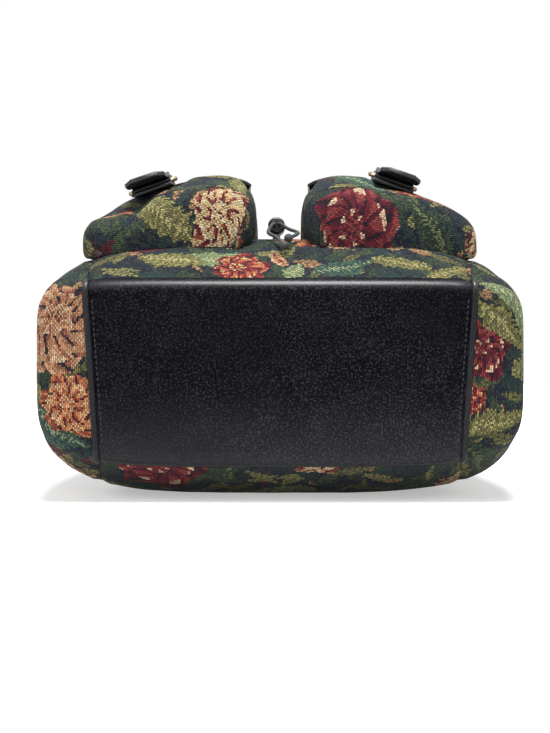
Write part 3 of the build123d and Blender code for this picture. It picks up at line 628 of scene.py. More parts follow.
@dataclass(frozen=True)
class Sprigs(Motif):
    """A layer of small leaves that lie every way: how close, which, and how wide."""

    scale: float
    seed: float
    width: float
    half_length: float = 0.62
    teeth: float = 38.0
    ribs: float = 34.0

    def draw(self, graph: Graph, cloth: "ClothSpace", under: Socket) -> Socket:
        """Weaves one leaf round each point of a loose grid.

        Args:
            graph: The material's graph.
            cloth: The cloth's coordinates.
            under: The colour below the motif.

        Returns:
            The colour with the motif on it.
        """
        where = graph.vector("ADD", cloth.where, (self.seed * 13.0, self.seed * 7.0, self.seed))
        inputs = {"Vector": where, "Scale": self.scale, "Randomness": 0.8}
        cells = graph.node("TexVoronoi", {"voronoi_dimensions": "2D"}, inputs)
        away = graph.vector("SUBTRACT", where, graph.out(cells, "Position"))
        dx, dy, _ = graph.parts(graph.scaled(away, self.scale))
        way, hue, _ = graph.parts(graph.out(cells, "Color"))
        turn = way * (2 * pi)
        sine, cosine = graph.math("SINE", turn), graph.math("COSINE", turn)
        along = dx * cosine + dy * sine
        side = dy * cosine - dx * sine + (cloth.ripple - 0.5) * 0.2
        tooth = graph.math("SINE", along * self.teeth) * 0.025
        half = (self.half_length - abs(along)) * self.width + tooth
        across = abs(side) / graph.math("MAXIMUM", half, 0.001)
        ribs = graph.math("SINE", (along - abs(side)) * self.ribs) > 0.35
        tint = graph.ramp(hue, SPRIG_TONES, hard=True)
        tint = graph.mix(ribs * 0.5 + (across < 0.15) * 0.3, tint, RIB_TONE)
        return graph.mix((across < 1.0) * (half > 0.0), under, tint)


def stops(tones: Sequence[Colour], end: float) -> list[tuple[float, Colour]]:
    """The tones, evenly spaced along a ramp up to its last step."""
    return list(zip(spread(0.0, end, len(tones)), tones))


class ClothSpace:
    """Coordinates on the repeating cloth, stepped from one thread to the next."""

    RIPPLE_SCALE = 0.11
    DRIFT_SCALE = 0.035
    DRIFT = 16.0

    def __init__(self, graph: Graph, repeat: Spot, thread: Spot) -> None:
        """Reads the cloth coordinates, in millimetres, and snaps them to the weave.

        Args:
            graph: The material's graph.
            repeat: Width and height of one repeat of the pattern.
            thread: Width and height of one stitch.
        """
        self.graph = graph
        self.repeat = repeat
        uv = graph.out(graph.node("UVMap", {"uv_map": "cloth"}))
        self.u, self.v, _ = graph.parts(uv)
        self.row = graph.math("FLOOR", self.v / thread[1])
        self.column = graph.math("FLOOR", self.u / thread[0])
        cell_u = (self.column + 0.5) * thread[0]
        cell_v = (self.row + 0.5) * thread[1]
        self.where = graph.out(graph.node("CombineXYZ", inputs={0: cell_u, 1: cell_v}))
        self.chance = graph.speckle(self.where)
        self.ripple = graph.noise(self.where, self.RIPPLE_SCALE, 2.0)
        shift = graph.noise(self.where, self.DRIFT_SCALE, 1.0, "Color")
        drift_u, drift_v, _ = graph.parts(shift)
        self.cell_u = cell_u + (drift_u - 0.5) * self.DRIFT
        self.cell_v = cell_v + (drift_v - 0.5) * self.DRIFT

    def offset(self, at: Spot) -> tuple[Socket, Socket]:
        """The way from a motif's middle, in the nearest repeat of the cloth.

        Args:
            at: The motif's middle.

        Returns:
            The way across and the way along.
        """
        half = (self.repeat[0] / 2, self.repeat[1] / 2)
        dx = self.graph.math("WRAP", self.cell_u - at[0], half[0], -half[0])
        dy = self.graph.math("WRAP", self.cell_v - at[1], half[1], -half[1])
        return dx, dy


INK = (0.010, 0.013, 0.024)
PEACH = (
    (0.02, 0.018, 0.026), (0.34, 0.12, 0.06), (0.55, 0.27, 0.14),
    (0.66, 0.38, 0.21), (0.74, 0.50, 0.31),
)
CORAL = (
    (0.07, 0.015, 0.01), (0.34, 0.07, 0.03), (0.58, 0.21, 0.09),
    (0.68, 0.36, 0.17), (0.70, 0.48, 0.26),
)
BURGUNDY = (
    (0.016, 0.006, 0.010), (0.085, 0.008, 0.015), (0.17, 0.014, 0.024),
    (0.28, 0.05, 0.045), (0.72, 0.50, 0.32),
)
ROSE = (
    (0.03, 0.008, 0.010), (0.18, 0.016, 0.022), (0.33, 0.045, 0.035),
    (0.58, 0.20, 0.09), (0.60, 0.50, 0.20),
)
CREAM = (
    (0.10, 0.008, 0.014), (0.26, 0.05, 0.035), (0.60, 0.40, 0.20),
    (0.66, 0.52, 0.28), (0.72, 0.62, 0.40),
)
TEAL = ((0.26, 0.32, 0.18), (0.035, 0.075, 0.055), (0.065, 0.125, 0.085), (0.018, 0.04, 0.04))
SAGE = ((0.42, 0.45, 0.24), (0.19, 0.24, 0.11), (0.29, 0.35, 0.17), (0.05, 0.08, 0.045))
OLIVE = ((0.42, 0.38, 0.16), (0.16, 0.15, 0.05), (0.28, 0.26, 0.09), (0.03, 0.034, 0.018))
FOREST = ((0.14, 0.16, 0.07), (0.022, 0.038, 0.022), (0.05, 0.075, 0.038), (0.01, 0.02, 0.018))
GROUND_TONES = ((0.0, (0.035, 0.045, 0.07)), (0.46, (0.06, 0.065, 0.03)), (0.56, (0.03, 0.05, 0.045)))
SPRIG_TONES = (
    (0.0, (0.045, 0.07, 0.035)), (0.2, (0.17, 0.16, 0.055)), (0.38, (0.03, 0.055, 0.048)),
    (0.55, (0.29, 0.27, 0.10)), (0.7, (0.07, 0.095, 0.045)), (0.84, (0.14, 0.018, 0.022)),
    (0.93, (0.46, 0.26, 0.12)),
)
RIB_TONE = (0.010, 0.018, 0.014, 1.0)
GAP_TONE = (0.003, 0.004, 0.006, 1.0)


@dataclass(frozen=True)
class TapestryFinish:
    """A jacquard cloth with flowers and leaves on a dark ground."""

    name: str = "tapestry"
    repeat: Spot = (330.0, 300.0)
    thread: Spot = (1.3, 1.0)
    ground: Colour = INK
    dim: float = 0.45
    sheen: float = 0.02
    shine: float = 0.12
    relief: float = 0.35
    sprigs: tuple[Sprigs, ...] = (
        Sprigs(0.052, 3.0, 0.36), Sprigs(0.062, 11.0, 0.30), Sprigs(0.044, 23.0, 0.30)
    )
    motifs: tuple[Motif, ...] = (
        Leaf((38.0, 30.0), 30.0, 9.0, 0.5, TEAL),
        Leaf((118.0, 84.0), 22.0, 9.0, -0.5, TEAL),
        Leaf((20.0, 128.0), 28.0, 9.0, 1.3, FOREST),
        Leaf((140.0, 22.0), 24.0, 8.0, 0.1, SAGE),
        Leaf((178.0, 100.0), 26.0, 9.0, 2.3, TEAL),
        Leaf((214.0, 12.0), 20.0, 7.5, 0.35, TEAL),
        Leaf((250.0, 17.0), 18.0, 6.5, -0.25, OLIVE),
        Leaf((276.0, 9.0), 16.0, 5.5, 0.5, OLIVE),
        Leaf((184.0, 8.0), 10.0, 5.5, 0.9, SAGE),
        Leaf((176.0, 24.0), 11.0, 5.0, 2.0, PEACH),
        Leaf((300.0, 66.0), 28.0, 9.0, 1.2, OLIVE),
        Leaf((318.0, 112.0), 24.0, 8.0, 1.9, OLIVE),
        Leaf((246.0, 124.0), 28.0, 10.0, 0.2, SAGE),
        Leaf((312.0, 168.0), 26.0, 9.0, 2.0, OLIVE),
        Leaf((30.0, 208.0), 26.0, 10.0, -0.4, OLIVE),
        Leaf((44.0, 184.0), 26.0, 8.0, 0.5, OLIVE),
        Leaf((106.0, 172.0), 28.0, 10.0, 1.1, TEAL),
        Leaf((118.0, 218.0), 26.0, 9.0, 1.2, FOREST),
        Leaf((212.0, 168.0), 26.0, 9.0, 0.7, TEAL),
        Leaf((98.0, 262.0), 28.0, 10.0, 0.3, SAGE),
        Leaf((190.0, 270.0), 28.0, 9.0, 2.6, OLIVE),
        Leaf((272.0, 236.0), 30.0, 10.0, -0.4, TEAL),
        Leaf((20.0, 262.0), 26.0, 9.0, 0.8, FOREST),
        Flower((48.0, 82.0), 33.0, 7, 0.3, PEACH),
        Flower((97.0, 74.0), 19.0, 6, 1.4, CORAL),
        Leaf((112.0, 20.0), 22.0, 8.0, 2.9, OLIVE),
        Flower((154.0, 12.0), 17.0, 6, 0.8, ROSE),
        Flower((200.0, 62.0), 26.0, 7, 0.1, CORAL),
        Flower((276.0, 101.0), 18.0, 6, 0.5, BURGUNDY),
        Flower((306.0, 96.0), 10.0, 5, 0.2, ROSE),
        Leaf((262.0, 112.0), 20.0, 7.0, 0.9, OLIVE),
        Flower((140.0, 128.0), 24.0, 6, 1.1, CREAM),
        Flower((70.0, 150.0), 19.0, 5, 0.4, ROSE),
        Flower((236.0, 206.0), 29.0, 7, 0.9, PEACH),
        Flower((165.0, 224.0), 28.0, 6, 0.2, BURGUNDY),
        Flower((69.0, 213.0), 21.0, 6, 0.2, CREAM),
        Flower((308.0, 262.0), 24.0, 6, 0.6, CREAM),
        Flower((300.0, 14.0), 13.0, 5, 0.6, CORAL),
    )

    def make(self) -> Material:
        """Builds the material.

        Returns:
            The material, with its graph closed.
        """
        graph = Graph(self.name)
        cloth = ClothSpace(graph, self.repeat, self.thread)
        tint = graph.ramp(cloth.ripple, GROUND_TONES)
        colour = graph.mix((cloth.chance > 0.5) * 0.75, (*self.ground, 1.0), tint)
        for motif in (*self.sprigs, *self.motifs):
            colour = motif.draw(graph, cloth, colour)
        parity = graph.math("PINGPONG", cloth.row + cloth.column, 1.0)
        dim = (parity * self.dim + 0.12) * (cloth.chance > 0.25)
        colour = graph.mix(dim, colour, (*self.ground, 1.0))
        rib = abs(graph.math("SINE", cloth.v * (pi / self.thread[1])))
        strand = abs(graph.math("SINE", cloth.u * (pi / self.thread[0])))
        rib_gap, strand_gap = graph.step(rib, 0.62, 0.08) * 0.88, graph.step(strand, 0.4, 0.0) * 0.5
        colour = graph.mix(graph.math("MAXIMUM", rib_gap, strand_gap), colour, GAP_TONE)
        relief = graph.math("MINIMUM", rib, strand) + cloth.chance * 0.3
        wear_and_glint = graph.noise(graph.place(), 38.0, 3.0)
        return graph.finish({
            "Base Color": colour,
            "Roughness": wear_and_glint * 0.12 + 0.76,
            "Specular IOR Level": self.shine,
            "Sheen Weight": self.sheen,
            "Sheen Roughness": 0.5,
            "Normal": graph.bump(relief, self.relief * MM, 0.8, graph.bump(wear_and_glint, 0.0006, 0.5)),
        })


@dataclass(frozen=True)
class LeatherFinish:
    """Black leather with a pebbled grain.

    Attributes:
        wear_and_glint: The tone of the grain's light patches and specks; the specks are painted
            highlights, put where the lamps would glint on the pebbles.
        pebble: Size of the grain, in millimetres.
        depth: Depth of the grain, in millimetres.
        shine: The leather's own gloss.
        polish: Gloss where it faces partly up.
        sole: Gloss low down, where the bag is set on the ground.
        sole_rise: Heights between which that gloss fades, in metres.
    """

    name: str
    colour: Colour = (0.0015, 0.0018, 0.003)
    # Tone of the grain's own light patches and of its painted highlight specks.
    wear_and_glint: Colour = (0.030, 0.031, 0.040)
    pebble: float = 1.5
    depth: float = 0.3
    roughness: float = 0.38
    shine: float = 0.03
    polish: float = 0.4
    sole: float = 0.0
    sole_rise: Spot = (0.012, 0.075)

    def make(self) -> Material:
        """Builds the material.

        Returns:
            The material, with its graph closed.
        """
        graph = Graph(self.name)
        place = graph.place()
        scale = 1.0 / (self.pebble * MM)
        inputs = {"Vector": place, "Scale": scale, "Smoothness": 0.3, "Randomness": 0.95}
        cells = graph.node("TexVoronoi", {"feature": "SMOOTH_F1"}, inputs)
        pebbles = 1.0 - graph.step(graph.out(cells, "Distance"), 0.05, 0.75)
        crease = graph.noise(place, scale * 0.09, 3.0)
        fine = graph.noise(place, scale * 3.0, 2.0)
        # Painted highlights: random light specks of varying strength are mixed into the colour where
        # the pebbles would glint; the patches are the grain's own tone.
        painted_glint = graph.step(graph.noise(place, scale * 1.3, 2.0), 0.52, 0.62)
        patch = graph.step(crease + pebbles * 0.25, 0.45, 0.95)
        shade = graph.step(graph.noise(place, 11.0, 2.0), 0.3, 0.7) * 0.6 + 0.4
        light = (patch * 0.2 + painted_glint * 0.8) * shade
        grain = graph.bump(pebbles, self.depth * MM, 0.9, graph.bump(crease, 0.0012, 0.35))
        upward = graph.parts(graph.out(graph.node("NewGeometry"), "Normal"))[2]
        rubbed = graph.step(upward, 0.03, 0.6) * (1.0 - graph.step(upward, 0.7, 0.97))
        stood = 1.0 - graph.step(graph.parts(place)[2], *self.sole_rise)
        return graph.finish({
            "Base Color": graph.mix(light, (*self.colour, 1.0), (*self.wear_and_glint, 1.0)),
            "Roughness": fine * 0.16 + (self.roughness - pebbles * 0.08),
            "Specular IOR Level": self.shine,
            "Coat Weight": rubbed * self.polish + stood * self.sole,
            "Coat Roughness": 0.3,
            "Normal": graph.bump(fine, 0.00004, 0.5, grain),
        })


@dataclass(frozen=True)
class MetalFinish:
    """Old brass, duller where it is touched less."""

    name: str = "old_brass"
    bright: Colour = (0.52, 0.42, 0.27)
    dull: Colour = (0.16, 0.125, 0.085)

    def make(self) -> Material:
        """Builds the material.

        Returns:
            The material, with its graph closed.
        """
        graph = Graph(self.name)
        place = graph.place()
        cloud = graph.step(graph.noise(place, 260.0, 4.0), 0.35, 0.7)
        fine = graph.noise(place, 2600.0, 2.0)
        return graph.finish({
            "Base Color": graph.mix(cloud, (*self.dull, 1.0), (*self.bright, 1.0)),
            "Metallic": 1.0,
            "Roughness": 0.46 - cloud * 0.16 + fine * 0.08,
            "Normal": graph.bump(fine, 0.00003, 0.4),
        })


@dataclass(frozen=True)
class ClothFinish:
    """Plain woven cloth, such as a lining or a braid."""

    name: str
    colour: Colour = (0.02, 0.021, 0.024)
    pitch: float = 0.45
    roughness: float = 0.8

    def make(self) -> Material:
        """Builds the material.

        Returns:
            The material, with its graph closed.
        """
        graph = Graph(self.name)
        place = graph.place()
        waves = []
        for direction in ((1.0, 0.6, 0.2), (-0.3, 0.8, 1.0)):
            along = graph.vector("DOT_PRODUCT", place, direction, output="Value")
            waves.append(graph.math("SINE", along * (2 * pi / (self.pitch * MM))) * 0.5 + 0.5)
        weave = graph.math("MAXIMUM", *waves)
        cloud = graph.noise(place, 55.0, 3.0)
        light = tuple(min(1.0, c * 1.9) for c in self.colour)
        return graph.finish({
            "Base Color": graph.mix(weave * 0.5 + cloud * 0.3, (*self.colour, 1.0), (*light, 1.0)),
            "Roughness": cloud * 0.1 + self.roughness,
            "Sheen Weight": 0.1,
            "Normal": graph.bump(weave, 0.00012, 0.7),
        })


@dataclass(frozen=True)
class LockFinish:
    """Black moulded plastic with a soft gloss."""

    name: str = "lock_plastic"
    colour: Colour = (0.02, 0.021, 0.023)

    def make(self) -> Material:
        """Builds the material.

        Returns:
            The material, with its graph closed.
        """
        graph = Graph(self.name)
        place = graph.place()
        haze = graph.noise(place, 420.0, 3.0)
        return graph.finish({
            "Base Color": graph.mix(haze * 0.5, (*self.colour, 1.0), (0.05, 0.05, 0.052, 1.0)),
            "Roughness": haze * 0.2 + 0.22,
            "Normal": graph.bump(graph.noise(place, 1900.0, 1.0), 0.00003, 0.4),
        })


@dataclass
class Finishes:
    """All materials of the bag."""

    tapestry: Material = field(default_factory=TapestryFinish().make)
    pebbled: Material = field(default_factory=LeatherFinish("pebbled_leather").make)
    base: Material = field(default_factory=LeatherFinish("base_leather", sole=0.34).make)
    # The light grain specks of this leather are painted highlights too.
    smooth: Material = field(default_factory=LeatherFinish(
        "smooth_leather", colour=(0.010, 0.011, 0.013), wear_and_glint=(0.035, 0.037, 0.042),
        pebble=0.9, depth=0.09, roughness=0.3, shine=0.16, polish=0.1).make)
    piping: Material = field(default_factory=LeatherFinish(
        "piping_leather", pebble=0.8, depth=0.09, shine=0.2).make)
    brass: Material = field(default_factory=MetalFinish().make)
    lining: Material = field(default_factory=ClothFinish("lining_cloth").make)
    braid: Material = field(default_factory=ClothFinish(
        "cord_braid", (0.012, 0.012, 0.014), 0.7, 0.6).make)
    thread: Material = field(default_factory=ClothFinish(
        "sewing_thread", (0.005, 0.005, 0.006), 0.3, 0.65).make)
    board: Material = field(default_factory=ClothFinish(
        "pressed_board", (0.22, 0.19, 0.15), 1.1, 0.9).make)
    lock: Material = field(default_factory=LockFinish().make)


# Meshes


@dataclass
class Sheet:
    """A sheet of cloth or leather, as a grid of points with its place on the roll it was cut from.

    Attributes:
        rows: Points in millimetres, row by row.
        flip: Whether the outer face is the other side of the grid.
    """

    rows: list[list[Vector]]
    flip: bool = False

    def normals(self) -> list[list[Vector]]:
        """The outward direction at each point.

        Returns:
            Unit vectors, in rows like the sheet's points.
        """
        rows = self.rows
        last_row, last_column = len(rows) - 1, len(rows[0]) - 1
        result = []
        for i, row in enumerate(rows):
            line = []
            for j in range(len(row)):
                down = rows[min(i + 1, last_row)][j] - rows[max(i - 1, 0)][j]
                right = row[min(j + 1, last_column)] - row[max(j - 1, 0)]
                normal = right.cross(down)
                if normal.length < TINY:
                    normal = Vector((0, 0, 1))
                normal.normalize()
                line.append(-normal if self.flip else normal)
            result.append(line)
        return result

    def faced(self, heart: Vector) -> "Sheet":
        """Turns the outer face away from a point inside, judged at the sheet's middle.

        Args:
            heart: The point inside.

        Returns:
            The sheet itself.
        """
        i, j = len(self.rows) // 2, len(self.rows[0]) // 2
        self.flip = False
        self.flip = self.normals()[i][j].dot(self.rows[i][j] - heart) < 0
        return self

    def shares(self) -> Iterable[tuple[int, int, float, float]]:
        """Each point's row and column, and its shares of the way down and across."""
        for i in range(len(self.rows)):
            for j in range(len(self.rows[0])):
                yield i, j, i / (len(self.rows) - 1), j / (len(self.rows[0]) - 1)

    def moved(self, lift: Callable[[Vector, float, float], float]) -> "Sheet":
        """Moves each point along its normal.

        Args:
            lift: Gives the way out for a point and its shares down and across.

        Returns:
            The sheet itself.
        """
        normals = self.normals()
        for i, j, down, over in self.shares():
            point = self.rows[i][j]
            self.rows[i][j] = point + normals[i][j] * lift(point, down, over)
        return self

    def roll_places(self) -> list[list[Spot]]:
        """Distances along the sheet, across from its middle column and down from its first row.

        Returns:
            Both distances, in rows like the sheet's points.
        """
        middle = len(self.rows[0]) // 2
        down = [0.0] * len(self.rows[0])
        places = []
        for i, row in enumerate(self.rows):
            if i:
                down = [d + (row[j] - self.rows[i - 1][j]).length for j, d in enumerate(down)]
            over = [0.0] * len(row)
            for j in range(middle + 1, len(row)):
                over[j] = over[j - 1] + (row[j] - row[j - 1]).length
            for j in range(middle - 1, -1, -1):
                over[j] = over[j + 1] - (row[j] - row[j + 1]).length
            level = sum(down) / len(down)
            places.append([(over[j], 0.5 * down[j] + 0.5 * level) for j in range(len(row))])
        return places

    def build(
        self, name: str, thickness: float, material: Material,
        cut_from: Spot = (0.0, 0.0), turn: float = 0.0, soften: float = 0.0,
    ) -> Object:
        """Makes the mesh, with an inner face and closed edges.

        Args:
            name: The piece's name.
            thickness: How thick the sheet is.
            material: Its finish.
            cut_from: Where on the roll of cloth its middle lies.
            turn: How far it is turned on the roll.
            soften: Radius of its rounded edges.

        Returns:
            The new object.
        """
        normals = self.normals()
        count_i, count_j = len(self.rows), len(self.rows[0])
        outer = [to_world(*point) for row in self.rows for point in row]
        inner = [
            to_world(*(self.rows[i][j] - normals[i][j] * thickness))
            for i in range(count_i) for j in range(count_j)
        ]
        shift = count_i * count_j

        def at(i: int, j: int) -> int:
            """The index of a point of the outer face."""
            return i * count_j + j

        faces = []
        for i in range(count_i - 1):
            for j in range(count_j - 1):
                faces.append((at(i, j), at(i + 1, j), at(i + 1, j + 1), at(i, j + 1)))
        faces += [tuple(shift + k for k in reversed(face)) for face in faces]
        edge = [at(0, j) for j in range(count_j)] + [at(i, count_j - 1) for i in range(1, count_i)]
        edge += [at(count_i - 1, j) for j in range(count_j - 2, -1, -1)]
        edge += [at(i, 0) for i in range(count_i - 2, 0, -1)]
        for k, start in enumerate(edge):
            end = edge[(k + 1) % len(edge)]
            faces.append((start, end, end + shift, start + shift))
        if self.flip:
            faces = [tuple(reversed(face)) for face in faces]
        mesh = bpy.data.meshes.new(name)
        mesh.from_pydata(outer + inner, [], faces)
        places = [spot for row in self.roll_places() for spot in row]
        layer = mesh.uv_layers.new(name="cloth")
        for loop in mesh.loops:
            u, v = places[loop.vertex_index % shift]
            layer.data[loop.index].uv = (
                cut_from[0] + u * cos(turn) - v * sin(turn),
                cut_from[1] + u * sin(turn) + v * cos(turn),
            )
        return finished(name, mesh, material, soften)


def rounded(bm: bmesh.types.BMesh, radius: float) -> None:
    """Rounds the sharp edges of a mesh by a radius in millimetres.

    Args:
        bm: The mesh.
        radius: The radius.
    """
    sharp = [e for e in bm.edges if e.is_manifold and e.calc_face_angle(0.0) > SHARP]
    bmesh.ops.bevel(
        bm, geom=sharp, offset=radius * MM, segments=2, profile=0.5, affect="EDGES", clamp_overlap=True
    )


def coated(mesh: bpy.types.Mesh, material: Material, sharp: float) -> None:
    """Gives a mesh its finish and smooth shading, except over sharp edges in degrees.

    Args:
        mesh: The mesh.
        material: Its finish.
        sharp: The angle from which an edge stays sharp.
    """
    mesh.materials.clear()
    mesh.materials.append(material)
    for polygon in mesh.polygons:
        polygon.use_smooth = True
    mesh.set_sharp_from_angle(angle=radians(sharp))


def finished(
    name: str, mesh: bpy.types.Mesh, material: Material, soften: float = 0.0
) -> Object:
    """Makes an object of a mesh, with rounded edges and smooth shading.

    Args:
        name: The object's name.
        mesh: Its mesh.
        material: Its finish.
        soften: Radius of the rounded edges, in millimetres.

    Returns:
        The new object.
    """
    mesh.update()
    bm = bmesh.new()
    bm.from_mesh(mesh)
    bmesh.ops.recalc_face_normals(bm, faces=bm.faces)
    if soften:
        rounded(bm, soften)
    bm.to_mesh(mesh)
    bm.free()
    obj = bpy.data.objects.new(name, mesh)
    bpy.context.scene.collection.objects.link(obj)
    coated(mesh, material, 50)
    return obj


def dressed(
    node: str, material: Material, soften: float,
    wave: float = 0.0, split: float = 0.0,
) -> Object:
    """Makes a soft leather piece on the form of a CAD node, with rounded edges and a slight wave.

    Args:
        node: The CAD node that the piece replaces.
        material: Its finish.
        soften: Radius of its rounded edges, in millimetres.
        wave: How far its faces wave, in millimetres.
        split: The longest edge left before the faces are waved.

    Returns:
        The new object.
    """
    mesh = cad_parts[node].data.copy()
    bm = bmesh.new()
    bm.from_mesh(mesh)
    bmesh.ops.remove_doubles(bm, verts=bm.verts, dist=1e-6)
    rounded(bm, soften)
    if split:
        for _ in range(4):
            long = [e for e in bm.edges if e.calc_length() > split * MM]
            if not long:
                break
            bmesh.ops.subdivide_edges(bm, edges=long, cuts=1)
            bmesh.ops.triangulate(bm, faces=[f for f in bm.faces if len(f.verts) > 4])
    if wave:
        bm.normal_update()
        for vert in bm.verts:
            lift = noise.noise(vert.co * 60.0) * 0.7 + noise.noise(vert.co * 170.0) * 0.3
            vert.co += vert.normal * lift * wave * MM
    bm.to_mesh(mesh)
    bm.free()
    piece = finished(node.replace("_", "-") + "-soft", mesh, material)
    return carried(piece, [node])


def carried(piece: Object, nodes: Sequence[str] = ()) -> Object:
    """Hangs a piece on the bag and hides the nodes it stands for.

    Args:
        piece: The piece.
        nodes: The CAD nodes that it stands for.

    Returns:
        The piece.
    """
    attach(piece, BAG)
    if nodes:
        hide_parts(*nodes)
    LOG.info("%s rides on %s", piece.name, BAG)
    return piece


def painted(node: str, material: Material) -> None:
    """Gives a CAD node that stays in sight its finish."""
    coated(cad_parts[node].data, material, 35)
    LOG.info("%s painted with %s", node, material.name)


@dataclass(frozen=True)
class Stitch:
    """The form of a stitch, and how far it is from one to the next, in millimetres."""

    pitch: float = 3.2
    length: float = 2.2
    radius: float = 0.35
    sides: int = 6
    rings: tuple[Spot, ...] = ((-0.5, 0.25), (-0.36, 0.9), (0.0, 1.0), (0.36, 0.9), (0.5, 0.25))

    def row(
        self, name: str, line: Sequence[Vector], normals: Sequence[Vector],
        material: Material, slot: str,
    ) -> Object:
        """Makes a row of stitches along a line.

        Args:
            name: The piece's name.
            line: Points in millimetres, on the face that is sewn.
            normals: The face's outward direction at each point.
            material: The thread's finish.
            slot: Not used.

        Returns:
            The new object.
        """
        verts, faces = [], []
        travelled, due = 0.0, self.pitch / 2
        for k in range(len(line) - 1):
            run = line[k + 1] - line[k]
            size = run.length
            while size > TINY and due <= travelled + size:
                share = (due - travelled) / size
                up = normals[k].lerp(normals[k + 1], share).normalized()
                self.add(verts, faces, line[k].lerp(line[k + 1], share), run.normalized(), up)
                due += self.pitch
            travelled += size
        mesh = bpy.data.meshes.new(name)
        mesh.from_pydata(verts, [], faces)
        return carried(finished(name, mesh, material))

    def add(self, verts: list, faces: list, middle: Vector, along: Vector, up: Vector) -> None:
        """Adds the points and faces of one stitch.

        Args:
            verts: Points so far.
            faces: Faces so far.
            middle: Where the stitch lies.
            along: The direction of the seam.
            up: The outward direction of the face.
        """
        first, sides = len(verts), self.sides
        side = along.cross(up).normalized()
        for place, wide in self.rings:
            sunk = up * (self.radius * (0.35 if abs(place) < 0.4 else -0.5))
            for turn in spread(0.0, 2 * pi, sides + 1)[:-1]:
                out = side * (cos(turn) * self.radius * wide) + up * (sin(turn) * self.radius * wide)
                verts.append(to_world(*(middle + along * (place * self.length) + sunk + out)))
        for ring in range(len(self.rings) - 1):
            for k in range(sides):
                a, b = first + ring * sides + k, first + ring * sides + (k + 1) % sides
                faces.append((a, b, b + sides, a + sides))
        last = first + (len(self.rings) - 1) * sides
        faces.append(tuple(first + k for k in reversed(range(sides))))
        faces.append(tuple(last + k for k in range(sides)))


def sewn(
    name: str, piece: Object, route: Sequence[Vector], towards: Vector,
    material: Material, slot: str,
) -> Object:
    """Sews a row of stitches onto a piece, along a route that is cast onto its face.

    Args:
        name: The name of the stitches.
        piece: The piece that is sewn.
        route: Corners of the seam in millimetres, outside the piece.
        towards: The direction in which they are cast onto it.
        material: The thread's finish.
        slot: A slot name, handed on to the stitch row.

    Returns:
        The stitches.
    """
    mesh = piece.data
    faces = [tuple(polygon.vertices) for polygon in mesh.polygons]
    tree = BVHTree.FromPolygons([vert.co for vert in mesh.vertices], faces)
    line, normals = [], []
    for start, end in zip(route, route[1:]):
        for share in spread(0.0, 1.0, max(3, round((end - start).length / 1.5))):
            hit, normal, _, _ = tree.ray_cast(to_world(*start.lerp(end, share)), towards)
            if hit is not None:
                line.append(Vector((hit.x / MM, (hit.y - BASE_Y) / MM, hit.z / MM)))
                normals.append(normal if normal.dot(towards) < 0 else -normal)
    return Stitch().row(name, line, normals, material, slot)


def tube(
    name: str, points: Sequence[Vector], radius: float, material: Material
) -> Object:
    """Makes a round tube, as a curve.

    Args:
        name: The piece's name.
        points: Control points of its line, in millimetres.
        radius: Half its thickness.
        material: Its finish.

    Returns:
        The new object.
    """
    curve = bpy.data.curves.new(name, "CURVE")
    curve.dimensions = "3D"
    curve.bevel_depth = radius * MM
    curve.bevel_resolution = 4
    curve.use_fill_caps = True
    curve.resolution_u = 8
    spline = curve.splines.new("NURBS")
    spline.points.add(len(points) - 1)
    for place, point in zip(spline.points, points):
        place.co = (*to_world(*point), 1.0)
    spline.order_u = 3
    spline.use_endpoint_u = True
    obj = bpy.data.objects.new(name, curve)
    curve.materials.append(material)
    bpy.context.scene.collection.objects.link(obj)
    return obj


# Walls of the bag


